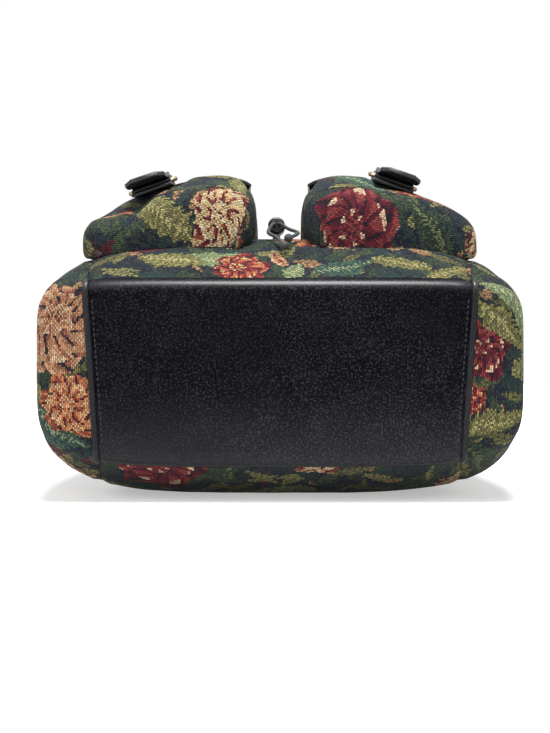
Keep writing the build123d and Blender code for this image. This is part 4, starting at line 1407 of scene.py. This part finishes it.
@dataclass
class Walls:
    """The cloth walls, the leather base, its binding and the lining."""

    finishes: Finishes
    cloth: float = 2.2
    leather: float = 2.2
    piping: float = 1.9
    step: float = 2.6
    base_gap: float = 1.6
    thread_in: float = 3.8

    def build(self) -> None:
        """Makes every wall."""
        self.panel(Part.FRONT, "front-cloth", "front_panel", (178.0, 2.0))
        self.panel(Part.BACK, "back-cloth", "back_panel", (95.0, 226.0))
        self.gusset(Part.LEFT, "side-cloth-left", "side_panel_left", (79.0, 62.0))
        self.gusset(Part.RIGHT, "side-cloth-right", "side_panel_right", (289.0, 96.0))
        self.base()
        self.binding()
        for node in ("lining_front", "lining_back"):
            dressed(node, self.finishes.lining, soften=0.1, split=14.0, wave=0.35)
        painted("base_board", self.finishes.board)

    def stations(self, start: float, end: float) -> list[float]:
        """Distances from the base at which a wall has its rows."""
        return spread(start, end, max(4, round((end - start) / self.step)))

    def wrinkle(self, seed: float, part: Part) -> Callable[[Vector, float, float], float]:
        """Soft waves of the stuffed cloth, tighter at its seams and at the gathered top.

        Args:
            seed: Which waves they are.
            part: The wall, because the back lies flat on the ground.

        Returns:
            The way out of a point, for Sheet.moved.
        """

        def lift(point: Vector, down: float, over: float) -> float:
            """How far a point moves out, in millimetres.

            Args:
                point: The point.
                down: Its share of the way down the sheet; not used.
                over: Its share of the way across.

            Returns:
                The distance.
            """
            edge = min(over, 1.0 - over)
            near_seam = 1.0 - fade(edge, 0.0, 0.022)
            body = 1.2 * rough(point.x + point.z * 0.6, point.y, seed, 46.0)
            body += 0.55 * rough(point.x - point.z, point.y * 0.8, seed + 4, 17.0)
            pull = fade(point.y, 185.0, 245.0)
            gather = pull * 1.5 * rough(point.x + point.z, point.y * 0.18, seed + 9, 13.0)
            pucker = (1.0 - fade(edge, 0.0, 0.05)) * 0.35 * sin(point.y * 0.75 + seed)
            calm = fade(point.y, 8.0, 26.0) * fade(edge, 0.0, 0.05)
            rest = 0.35 if part is Part.BACK else 1.0
            return (body * rest + gather) * calm + pucker * fade(point.y, 8.0, 20.0) - 1.25 * near_seam

        return lift

    def panel(self, part: Part, name: str, node: str, cut_from: Spot) -> None:
        """Makes the front or back cloth panel.

        Args:
            part: The wall.
            name: The piece's name.
            node: The CAD node it stands for.
            cut_from: Where on the cloth its first row is cut.
        """
        rows = []
        for y in self.stations(BODY.edge_radius + BODY.seam_gap, BODY.length):
            rows.append([Vector((x, y, z)) for x, z in BODY.wall_points(y, part, 90)])
        seed = 2.0 if part is Part.FRONT else 5.0
        self.clothed(Sheet(rows), part, seed, name, node, cut_from)

    def clothed(
        self, sheet: Sheet, part: Part, seed: float, name: str, node: str, cut_from: Spot
    ) -> None:
        """Turns a wall's sheet outward, wrinkles it and hangs it on the bag.

        Args:
            sheet: The wall's points.
            part: The wall.
            seed: Which wrinkles it gets.
            name: The piece's name.
            node: The CAD node it stands for.
            cut_from: Where on the cloth its first row is cut.
        """
        y = sheet.rows[len(sheet.rows) // 2][0].y
        sheet.faced(Vector((0.0, y, BODY.section(y).middle))).moved(self.wrinkle(seed, part))
        piece = sheet.build(name, self.cloth, self.finishes.tapestry, cut_from)
        carried(piece, [node])

    def gusset(self, part: Part, name: str, node: str, cut_from: Spot) -> None:
        """Makes a side gusset with the end that folds under the base.

        Args:
            part: The wall.
            name: The piece's name.
            node: The CAD node it stands for.
            cut_from: Where on the cloth its first row is cut.
        """
        count = 56
        rim = BODY.wall_points(0.0, part, count)
        first, last = rim[0], rim[-1]
        across, up = last[0] - first[0], last[1] - first[1]
        chord = [(first[0] + across * t, first[1] + up * t) for t in spread(0, 1, count)]
        rows = []
        for share in spread(0.0, 0.94, 12):
            bulge = 0.9 * sin(pi * share)
            row = []
            for k, ((cx, cz), (rx, rz)) in enumerate(zip(chord, rim)):
                y = -bulge * sin(pi * k / (count - 1)) * 0.6
                row.append(Vector((cx + (rx - cx) * share, y, cz + (rz - cz) * share)))
            rows.append(row)
        for y in [0.0, 0.15, 0.6, 1.4, 2.6, 4.2, 6.2] + self.stations(BODY.edge_radius, BODY.length):
            rows.append([Vector((x, y, z)) for x, z in BODY.wall_points(y, part, count)])
        seed = 7.0 if part is Part.LEFT else 11.0
        self.clothed(Sheet(rows), part, seed, name, node, cut_from)

    def rim(self, y: float, part: Part) -> list[Spot]:
        """The leather's edge at a distance from the base, from its left to its right."""
        points = BODY.wall_points(y, part, 96, self.base_gap)
        return points[::-1] if part is Part.BACK else points

    def base(self) -> None:
        """Makes the leather base, rolled over its front and back edges, with its stitches."""
        roll = [BODY.edge_radius, 7.6, 5.8, 4.0, 2.5, 1.3, 0.5, 0.12]
        rows = [[Vector((x, y, z)) for x, z in self.rim(y, Part.FRONT)] for y in roll]
        ends = list(zip(self.rim(0.0, Part.FRONT), self.rim(0.0, Part.BACK)))
        for share in spread(0.0, 1.0, 42):
            rows.append([
                Vector((tx + (lx - tx) * share, 0.0, tz + (lz - tz) * share))
                for (tx, tz), (lx, lz) in ends
            ])
        rows += [[Vector((x, y, z)) for x, z in self.rim(y, Part.BACK)] for y in roll[::-1]]

        def lift(point: Vector, down: float, over: float) -> float:
            """How far a point moves out, in millimetres.

            Args:
                point: The point.
                down: Its share of the way down the sheet.
                over: Its share of the way across.

            Returns:
                The distance.
            """
            edge = min(over, 1.0 - over)
            broad = 0.9 * rough(point.x, point.z, 3.0, 70.0) + 0.4 * rough(point.x, point.z, 6.0, 24.0)
            calm = fade(edge, 0.0, 0.06) * fade(min(down, 1 - down), 0.0, 0.2)
            return broad * calm - 0.5 * (1 - fade(edge, 0.0, 0.02))

        sheet = Sheet(rows).faced(Vector((0.0, BODY.length, 0.0))).moved(lift)
        leather = sheet.build("base-leather", self.leather, self.finishes.base)
        carried(leather, ["base_panel"])
        for side, name in ((-1, "left"), (1, "right")):
            (top_x, top_z), (low_x, low_z) = BODY.seam_ends(side)
            ends = ((top_x, top_z - 2.0), (low_x, low_z + 2.0))
            route = [Vector((x - side * self.thread_in, -30.0, z)) for x, z in ends]
            towards = Vector((0, 1, 0))
            sewn(f"base-stitches-{name}", leather, route, towards, self.finishes.thread, "leather")

    def binding(self) -> None:
        """Makes the piped strip over each end seam of the base."""
        for side, node in ((-1, "base_binding_left"), (1, "base_binding_right")):
            top, low = BODY.seam_ends(side)
            start = (top[0], BODY.edge_radius - 1.0, top[1] + BODY.edge_radius)
            route = [start, (top[0], 4.0, top[1] + 7.6), (top[0], 0.6, top[1] + 4.0)]
            for share in spread(0.02, 0.98, 9):
                x, z = top[0] + (low[0] - top[0]) * share, top[1] + (low[1] - top[1]) * share
                route.append((x, 0.3 + 0.25 * rough(x, z, 4.0, 12.0), z))
            route += [(low[0], 0.6, low[1] - 4.0), (low[0], 4.0, low[1] - 7.6)]
            route.append((low[0], BODY.edge_radius - 1.0, low[1] - BODY.edge_radius))
            name = node.replace("_", "-") + "-piping"
            bead = tube(name, [Vector(p) for p in route], self.piping, self.finishes.piping)
            carried(bead, [node])


# Pockets and flaps


@dataclass(frozen=True)
class PocketForm:
    """The form of a front pocket, on the bag's right."""

    width: float = 106.0
    gap: float = 31.0
    start: float = 37.0
    length: float = 118.0
    inner_height: float = 45.0
    outer_height: float = 31.0
    edge_radius: float = 9.0
    inner_boxy: float = 3.2
    outer_boxy: float = 4.6
    tuck: float = 5.0
    tuck_share: float = 0.3
    seat: float = 0.5
    seam_turn: float = 36.0
    flap_overlap: float = 46.0
    flap_rise: float = 0.5
    flap_flare: float = 1.6
    flap_tail: float = 31.5
    flap_turn: float = 40.0

    @property
    def middle(self) -> float:
        """How far the pocket's middle lies from the bag's."""
        return (self.gap + self.width) / 2

    @property
    def end(self) -> float:
        """Where the pocket's open end lies."""
        return self.start + self.length

    def height(self, x: float, y: float) -> float:
        """How high the face stands over the front panel.

        Args:
            x: Distance from the bag's middle.
            y: Distance from the base.

        Returns:
            The height.
        """
        fullness = (
            (self.start, 0.80), (self.start + 32.0, 0.92), (self.start + 80.0, 1.0), (self.end, 0.96)
        )
        share = (x - self.gap / 2) / self.width
        full = self.inner_height + (self.outer_height - self.inner_height) * share
        return full * smooth(fullness, y, 1)

    def inset(self, y: float) -> float:
        """How far the rounded lower edge stands in."""
        return rolled_in(self.edge_radius, y - self.start)

    def arch(self, y: float, inset: float, turns: Sequence[float], fall: float = 1.0) -> list[Vector]:
        """Points of a section.

        Args:
            y: Distance from the base.
            inset: How far the section is set in.
            turns: Directions in degrees: 0 is the outer end, 180 the inner end, and the
                feet lie 90 beyond.
            fall: Share of the pocket's height that is left.

        Returns:
            The points.
        """
        half = self.width / 2 - inset
        points = []
        for turn in turns:
            beyond = max(-turn, turn - 180.0, 0.0) / 90.0
            angle = radians(min(max(turn, 0.0), 180.0))
            boxy = self.outer_boxy if cos(angle) > 0 else self.inner_boxy
            reach = reach_of(angle, boxy)
            x = self.middle + half * reach * cos(angle)
            up = self.tuck_share + (1 - self.tuck_share) * reach * abs(sin(angle))
            z = BODY.front(x, y) + self.seat + (self.height(x, y) - inset) * fall * up
            if beyond:
                side = 1 if turn < 0 else -1
                x -= side * self.tuck * (1 - cos(beyond * pi / 2))
                floor = BODY.front(x, y) + self.seat
                z += (floor - z) * sin(beyond * pi / 2)
            points.append(Vector((x, y, z)))
        return points


POCKET = PocketForm()


@dataclass
class Pockets:
    """The two front pockets with their leather flaps."""

    finishes: Finishes
    cloth: float = 2.2
    leather: float = 2.6

    def build(self) -> None:
        """Makes both pockets."""
        for side, name in ((1, "right"), (-1, "left")):
            seed = 21.0 if side > 0 else 33.0
            self.face(side, name, seed)
            self.gusset(side, name, seed)
            self.flap(side, name, seed)

    def wave(self, seed: float, strength: float) -> Callable[[Vector, float, float], float]:
        """Soft dents in a filled pocket.

        Args:
            seed: Which dents it gets.
            strength: How deep they are.

        Returns:
            The way out of a point, for Sheet.moved.
        """

        def lift(point: Vector, down: float, over: float) -> float:
            """How far a point moves out, in millimetres.

            Args:
                point: The point.
                down: Its share of the way down the sheet; not used.
                over: Its share of the way across.

            Returns:
                The distance.
            """
            broad = rough(point.x, point.y, seed, 30.0)
            broad += 0.45 * rough(point.x, point.y + point.z, seed + 3, 11.0)
            return strength * broad * fade(min(over, 1.0 - over), 0.0, 0.06)

        return lift

    @staticmethod
    def fullness(point: Vector, down: float, over: float) -> float:
        """How far the deep half of a pocket swells in front of its cap.

        Args:
            point: A point of the pocket.
            down: Its share of the way down the sheet; not used.
            over: Its share of the way across.

        Returns:
            The way out.
        """
        along = fade(point.y, 48.0, 76.0) * (1.0 - fade(point.y, 94.0, 106.0))
        deep = 1.0 - fade(abs(point.x), 54.0, 66.0)
        return 3.0 * along * deep * fade(min(over, 1.0 - over), 0.0, 0.12)

    def placed(self, rows: list[list[Vector]], side: int) -> Sheet:
        """The rows as a sheet on the bag's right or left, turned outward.

        Args:
            rows: Points of the right pocket, row by row.
            side: 1 for the bag's right, -1 for its left.

        Returns:
            The sheet.
        """
        sheet = Sheet([[Vector((side * p.x, p.y, p.z)) for p in row] for row in rows])
        heart = Vector((side * POCKET.middle, POCKET.start + 60.0, BODY.front(POCKET.middle, 90.0)))
        return sheet.faced(heart)

    def slumped(self, sheet: Sheet, side: int) -> Sheet:
        """Lets the left pocket's emptier outer end sink, with a dent under its buckle.

        Args:
            sheet: A sheet of the pocket.
            side: 1 for the bag's right, -1 for its left.

        Returns:
            The sheet itself.
        """
        if side > 0:
            return sheet
        for row in sheet.rows:
            for point in row:
                floor = BODY.front(point.x, point.y)
                share = fade(point.z - floor, 4.0, 24.0) * (1.0 - fade(point.y, 50.0, 84.0))
                lobe = fade(point.x, -121.0, -100.0) * (1.0 - fade(point.x, -92.0, -70.0))
                dent = 1.0 - min(1.0, abs(point.x + 88.0) / 11.0)
                point.z -= share * (6.5 * lobe + 3.0 * dent * dent * (3 - 2 * dent))
        return sheet

    def face(self, side: int, name: str, seed: float) -> None:
        """Makes the pocket's face, between its two long seams.

        Args:
            side: 1 for the bag's right, -1 for its left.
            name: The side's name.
            seed: Which dents it gets.
        """
        first = POCKET.start + POCKET.edge_radius + 0.4
        turns = spread(POCKET.seam_turn + 0.4, 180 - POCKET.seam_turn - 0.4, 44)
        rows = [POCKET.arch(y, POCKET.inset(y), turns) for y in spread(first, POCKET.end, 46)]
        sheet = self.slumped(self.placed(rows, side), side).moved(self.wave(seed, 0.8))
        sheet.moved(lambda p, down, over: -0.7 * (1.0 - fade(min(over, 1.0 - over), 0.0, 0.03)))
        sheet.moved(self.fullness)
        cut = (96.0, 150.0) if side > 0 else (250.0, 60.0)
        piece = sheet.build(f"pocket-face-{name}", self.cloth, self.finishes.tapestry, cut, 0.35 * side)
        carried(piece, [f"pocket_front_{name}"])

    def gusset(self, side: int, name: str, seed: float) -> None:
        """Makes the pocket's rolled lower end and its two side walls.

        Args:
            side: 1 for the bag's right, -1 for its left.
            name: The side's name.
            seed: Which dents they get.
        """
        first = POCKET.start + POCKET.edge_radius
        turns = spread(-90.0, 270.0, 121)
        rows = []
        foot = POCKET.arch(POCKET.start, POCKET.inset(POCKET.start), turns)
        for share in spread(0.0, 0.93, 12):
            row = []
            for point in foot:
                low = BODY.front(point.x, POCKET.start) + POCKET.seat
                y = POCKET.start - 0.5 * sin(pi * share)
                row.append(Vector((point.x, y, low + (point.z - low) * share)))
            rows.append(row)
        for y in [POCKET.start + d for d in (0.0, 0.2, 0.7, 1.6, 3.0, 4.8, 6.8, 8.6)]:
            rows.append(POCKET.arch(y, POCKET.inset(y), turns))
        sheet = self.placed(rows, side)
        self.slumped(sheet, side).moved(self.wave(seed + 5, 0.6))
        cut = (143.0, 212.0) if side > 0 else (40.0, 192.0)
        piece = sheet.build(f"pocket-end-{name}", self.cloth, self.finishes.tapestry, cut, 0.2)
        carried(piece, [f"pocket_gusset_{name}"])
        for wall, foot, top, cut in (
            ("inner", 270.0, 180 - POCKET.seam_turn, (150.0, 44.0)),
            ("outer", -90.0, POCKET.seam_turn, (310.0, 130.0)),
        ):
            turns = spread(foot, top, 36)
            rows = [POCKET.arch(y, POCKET.inset(y), turns) for y in spread(first, POCKET.end, 46)]
            strip = self.slumped(self.placed(rows, side), side).moved(self.wave(seed + 8, 0.7))
            piece = strip.build(f"pocket-{wall}-{name}", self.cloth, self.finishes.tapestry, cut)
            carried(piece)

    def flap(self, side: int, name: str, seed: float) -> None:
        """Makes the leather cap over the pocket's open end.

        Args:
            side: 1 for the bag's right, -1 for its left.
            name: The side's name.
            seed: Which dents it gets.
        """
        turns = spread(POCKET.flap_turn, 180 - POCKET.flap_turn, 48)
        start, end = POCKET.end - POCKET.flap_overlap, POCKET.end + POCKET.flap_tail
        rows = []
        for y in spread(start, end, 40):
            lifted = max(0.0, (POCKET.end - y) / POCKET.flap_overlap)
            lift = POCKET.flap_rise + POCKET.flap_flare * lifted**2
            tail = max(0.0, (y - POCKET.end) / POCKET.flap_tail)
            row = POCKET.arch(y, -lift, turns, 0.5 + 0.5 * cos(pi * tail))
            for k, (point, turn) in enumerate(zip(row, turns)):
                facing = radians(turn + (90 - turn) * tail)
                row[k] = point + Vector((self.leather * cos(facing), 0.0, self.leather * sin(facing)))
            rows.append(row)
        sheet = self.placed(rows, side).moved(self.wave(seed + 2, 0.35))
        piece = sheet.build(f"pocket-cap-{name}", self.leather, self.finishes.smooth, soften=0.7)
        carried(piece, [f"pocket_flap_{name}"])


# Straps, handle, main flap and mouth


@dataclass
class Leatherwork:
    """Straps, tabs, keepers, patch, handle and main flap, with their metal.

    Attributes:
        buckle: Distance of the pocket buckles from the base.
        tip: Distance of the pocket straps' tips from the base.
        drop: How far the tips hang down.
        bend: How sharply they bend.
        yoke_seam: Corners of the seam round the yoke patch, across and from the base.
        flap_seam: Corners of the seam at the main flap's sewn end.
    """

    finishes: Finishes
    buckle: float = 82.0
    tip: float = 48.0
    drop: float = 9.5
    bend: float = 1.4
    yoke_seam: tuple[Spot, ...] = (
        (-60.0, 207.5), (60.0, 207.5), (60.0, 228.5), (-60.0, 228.5), (-60.0, 207.5)
    )
    flap_seam: tuple[Spot, ...] = ((-92.0, 236.0), (-92.0, 196.5), (92.0, 196.5), (92.0, 236.0))

    def build(self) -> None:
        """Makes the leather pieces and paints the metal."""
        leather = self.finishes.smooth
        for side in ("left", "right"):
            self.droop(dressed(f"pocket_strap_{side}", leather, soften=0.6))
            for node in (f"shoulder_strap_lower_{side}", f"shoulder_strap_upper_{side}"):
                dressed(node, leather, soften=0.6)
            for node in (f"pocket_tab_{side}", f"shoulder_tab_{side}", f"shoulder_keeper_{side}"):
                dressed(node, leather, soften=0.35)
            for metal in ("pocket_buckle", "pocket_prong", "shoulder_buckle", "shoulder_prong"):
                painted(f"{metal}_{side}", self.finishes.brass)
        yoke = dressed("yoke_patch", leather, soften=0.5)
        route = [Vector((*corner, -60.0)) for corner in self.yoke_seam]
        sewn("yoke-stitches", yoke, route, Vector((0, 0, 1)), self.finishes.thread, "leather")
        dressed("carry_handle", leather, soften=0.4)
        flap = dressed("main_flap", self.finishes.pebbled, soften=0.8, split=12.0, wave=0.5)
        route = [Vector((*corner, 400.0)) for corner in self.flap_seam]
        sewn("flap-stitches", flap, route, Vector((0, 0, -1)), self.finishes.thread, "leather")
        painted("flap_snap_stud", self.finishes.brass)
        painted("flap_snap_socket", self.finishes.brass)

    def droop(self, strap: Object) -> None:
        """Lets a pocket strap's tip hang down from its buckle."""
        for vert in strap.data.vertices:
            share = (self.buckle - (vert.co.y - BASE_Y) / MM) / (self.buckle - self.tip)
            vert.co.z -= self.drop * MM * min(1.0, max(0.0, share)) ** self.bend


@dataclass
class Mouth:
    """The gathered tapestry collar round the mouth.

    Each row holds the distance from the base, half width, half depth, squareness and the
    height of the pleats.
    """

    finishes: Finishes
    cloth: float = 2.2
    pleats: int = 8
    middle: float = MOUTH_HEIGHT
    seam: float = 0.004
    rows: tuple[Row, ...] = (
        (245.0, 101.0, 46.0, 2.7, 0.0),
        (255.0, 83.5, 37.5, 2.3, 3.9),
        (265.0, 66.0, 33.0, 2.1, 6.5),
        (284.0, 71.0, 37.0, 2.1, 6.5),
        (303.0, 78.0, 40.0, 2.1, 7.8),
    )

    def point(self, y: float, angle: float) -> Vector:
        """A point of the collar's outer face.

        Args:
            y: Distance from the base.
            angle: The direction, from the bag's right and upward.

        Returns:
            The point.
        """
        half, depth, boxy, pleat = (smooth(self.rows, y, c) for c in range(1, 5))
        reach = reach_of(angle, boxy)
        size = hypot(half * cos(angle), depth * sin(angle))
        reach += pleat / size * cos(self.pleats * angle)
        return Vector((half * reach * cos(angle), y, self.middle + depth * reach * sin(angle)))

    def build(self) -> None:
        """Makes the two halves."""
        for name, start, cut in (("front", 0.0, (80.0, 20.0)), ("back", pi, (200.0, 150.0))):
            angles = spread(start + self.seam, start + pi - self.seam, 97)
            rows = [[self.point(y, angle) for angle in angles] for y in spread(245.4, 302.9, 26)]
            sheet = Sheet(rows)
            sheet.faced(Vector((0.0, rows[len(rows) // 2][0].y, self.middle))).moved(self.ripple)
            piece = sheet.build(f"mouth-cloth-{name}", self.cloth, self.finishes.tapestry, cut)
            carried(piece, [f"mouth_collar_{name}"])

    @staticmethod
    def ripple(point: Vector, down: float, over: float) -> float:
        """Small waves of the gathered cloth."""
        calm = fade(min(over, 1 - over), 0.0, 0.04)
        return 0.5 * rough(point.x, point.y + point.z, 17.0, 9.0) * calm


# Drawstring


@dataclass(frozen=True)
class Tail:
    """A free end of the drawstring: its side, its length in metres, which is not used, and its route.
    """

    name: str
    length: float
    route: tuple[tuple[float, float, float], ...]


@dataclass
class Drawstring:
    """The cord round the mouth, its two tails and the sliding lock."""

    finishes: Finishes
    radius: float = 1.1
    middle: float = -2.0
    out: float = 1.6
    height: float = 171.6
    rest: float = 1.5
    waist: float = 265.0
    ring_half: float = 74.0
    ring_depth: float = 41.0
    reach: float = 1.045
    tails: tuple[Tail, ...] = (
        Tail("right", 0.0509, (
            (-0.4, 80.0, 171.6), (-0.4, 70.0, 171.6), (5.0, 60.5, 165.8),
            (10.5, 54.0, 163.4), (12.0, 43.5, 160.6), (6.5, 36.0, 157.6),
        )),
        Tail("left", 0.0559, (
            (-3.6, 80.0, 171.6), (-3.6, 71.0, 171.6), (-7.5, 59.5, 164.6),
            (-7.0, 48.5, 161.2), (-1.5, 40.0, 158.4), (2.0, 30.5, 152.8),
        )),
    )

    def leg(self, side: int) -> list[Vector]:
        """The route of one leg, from the lock up to the mouth.

        Args:
            side: 1 for the bag's right, -1 for its left.

        Returns:
            The points of the route.
        """
        x = self.middle + side * self.out
        route = [Vector((x, y, self.height)) for y in (80.0, 132.0, 160.0)]
        for x, y in ((4.0, 182.0), (6.5, 200.0), (9.0, 216.0), (11.5, 230.0), (14.5, 244.0)):
            route.append(Vector((side * x, y, BODY.front(x, y) + self.radius + self.rest)))
        return route

    def loop(self) -> list[Vector]:
        """The whole route of the loop.

        Returns:
            Its points, from the right leg's lower end to the left one's.
        """
        ring = []
        for angle in spread(radians(68), radians(-248), 10):
            x = self.ring_half * self.reach * cos(angle)
            z = MOUTH_HEIGHT + self.ring_depth * self.reach * sin(angle)
            ring.append(Vector((x, self.waist, z)))
        return self.leg(1) + ring + self.leg(-1)[::-1]

    def build(self) -> None:
        """Makes the cords and paints their knots and the lock."""
        loop = tube("drawstring-loop", self.loop(), self.radius, self.finishes.braid)
        carried(loop, ["drawstring_loop"])
        for end in self.tails:
            points = [Vector(point) for point in end.route]
            tail = tube(f"drawstring-tail-{end.name}", points, self.radius, self.finishes.braid)
            carried(tail, [f"drawstring_tail_{end.name}"])
            painted(f"tail_knot_{end.name}", self.finishes.braid)
            tuple(to_world(*end.route[0]))
        painted("cord_lock", self.finishes.lock)


# Stage


@dataclass(frozen=True)
class Lamp:
    """A square lamp: its place and aim in metres, its size and its power in watts."""

    name: str
    place: tuple[float, float, float]
    aim: tuple[float, float, float]
    size: float
    power: float

    def hang(self) -> None:
        """Puts the lamp into the scene."""
        data = bpy.data.lights.new(self.name, "AREA")
        data.shape = "SQUARE"
        data.size = self.size
        data.energy = self.power
        lamp = bpy.data.objects.new(self.name, data)
        lamp.location = self.place
        way = Vector(self.aim) - Vector(self.place)
        lamp.rotation_euler = way.to_track_quat("-Z", "Y").to_euler()
        bpy.context.scene.collection.objects.link(lamp)


@dataclass
class Studio:
    """Camera, lamps, and the white floor and world."""

    distance: float = 600.0
    pixels_per_mm: float = 1.743
    photo_width: float = 550.0
    sensor: float = 36.0
    eye_height: float = 79.0
    eye_side: float = -3.0
    floor_half: float = 4.0
    horizon: Spot = (0.3, 0.9)
    glow: float = 0.42
    glow_gain: float = 0.9
    ambient: float = 0.33

    def build(self) -> None:
        """Sets the stage."""
        self.camera()
        self.floor()
        self.lamps()

    def camera(self) -> None:
        """Puts the camera where the photograph was taken from."""
        data = bpy.data.cameras.new("camera")
        data.sensor_fit = "HORIZONTAL"
        data.sensor_width = self.sensor
        data.lens = self.sensor * self.pixels_per_mm * self.distance / self.photo_width
        camera = bpy.data.objects.new("camera", data)
        camera.location = to_world(self.eye_side, -self.distance, self.eye_height)
        camera.rotation_euler = (pi / 2, 0.0, 0.0)
        bpy.context.scene.collection.objects.link(camera)
        bpy.context.scene.camera = camera

    def floor(self) -> None:
        """Makes a white floor that keeps the bag's shadow."""
        mesh = bpy.data.meshes.new("floor")
        half = self.floor_half
        corners = [(-half, -half, 0), (half, -half, 0), (half, half, 0), (-half, half, 0)]
        mesh.from_pydata(corners, [], [(0, 1, 2, 3)])
        floor = bpy.data.objects.new("floor", mesh)
        bpy.context.scene.collection.objects.link(floor)
        graph = Graph("white_floor")
        away = graph.vector("LENGTH", graph.place(), output="Value")
        glow = graph.step(away, *self.horizon) * self.glow_gain + self.glow
        mesh.materials.append(graph.finish({
            "Base Color": (0.86, 0.86, 0.86, 1.0),
            "Roughness": 0.9,
            "Emission Color": graph.seen() * glow,
            "Emission Strength": 1.0,
        }))

    def lamps(self) -> None:
        """Lights the bag softly, mostly from above."""
        graph = Graph("white", Owner.WORLD)
        strength = graph.blend(graph.seen(), self.ambient, 1.0)
        bpy.context.scene.world = graph.light_up(strength)
        for lamp in (
            Lamp("lamp-top", (0.05, -0.35, 1.2), (0.0, -0.1, 0.1), 0.5, 24.0),
            Lamp("lamp-left", (-1.3, -0.8, 0.8), (0.0, -0.15, 0.08), 0.6, 8.0),
            Lamp("lamp-right", (1.3, -0.7, 0.9), (0.0, -0.15, 0.08), 0.6, 4.0),
        ):
            lamp.hang()


def main() -> None:
    """Builds the stage, then the bag from its cords to its leather."""
    logging.basicConfig(level=logging.INFO, format="%(message)s")
    bpy.context.scene.view_settings.view_transform = "Standard"
    Studio().build()
    finishes = Finishes()
    for maker in (Drawstring, Walls, Pockets, Leatherwork, Mouth):
        maker(finishes).build()
        LOG.info("built %s", maker.__name__)


if __name__ == "__main__":
    main()
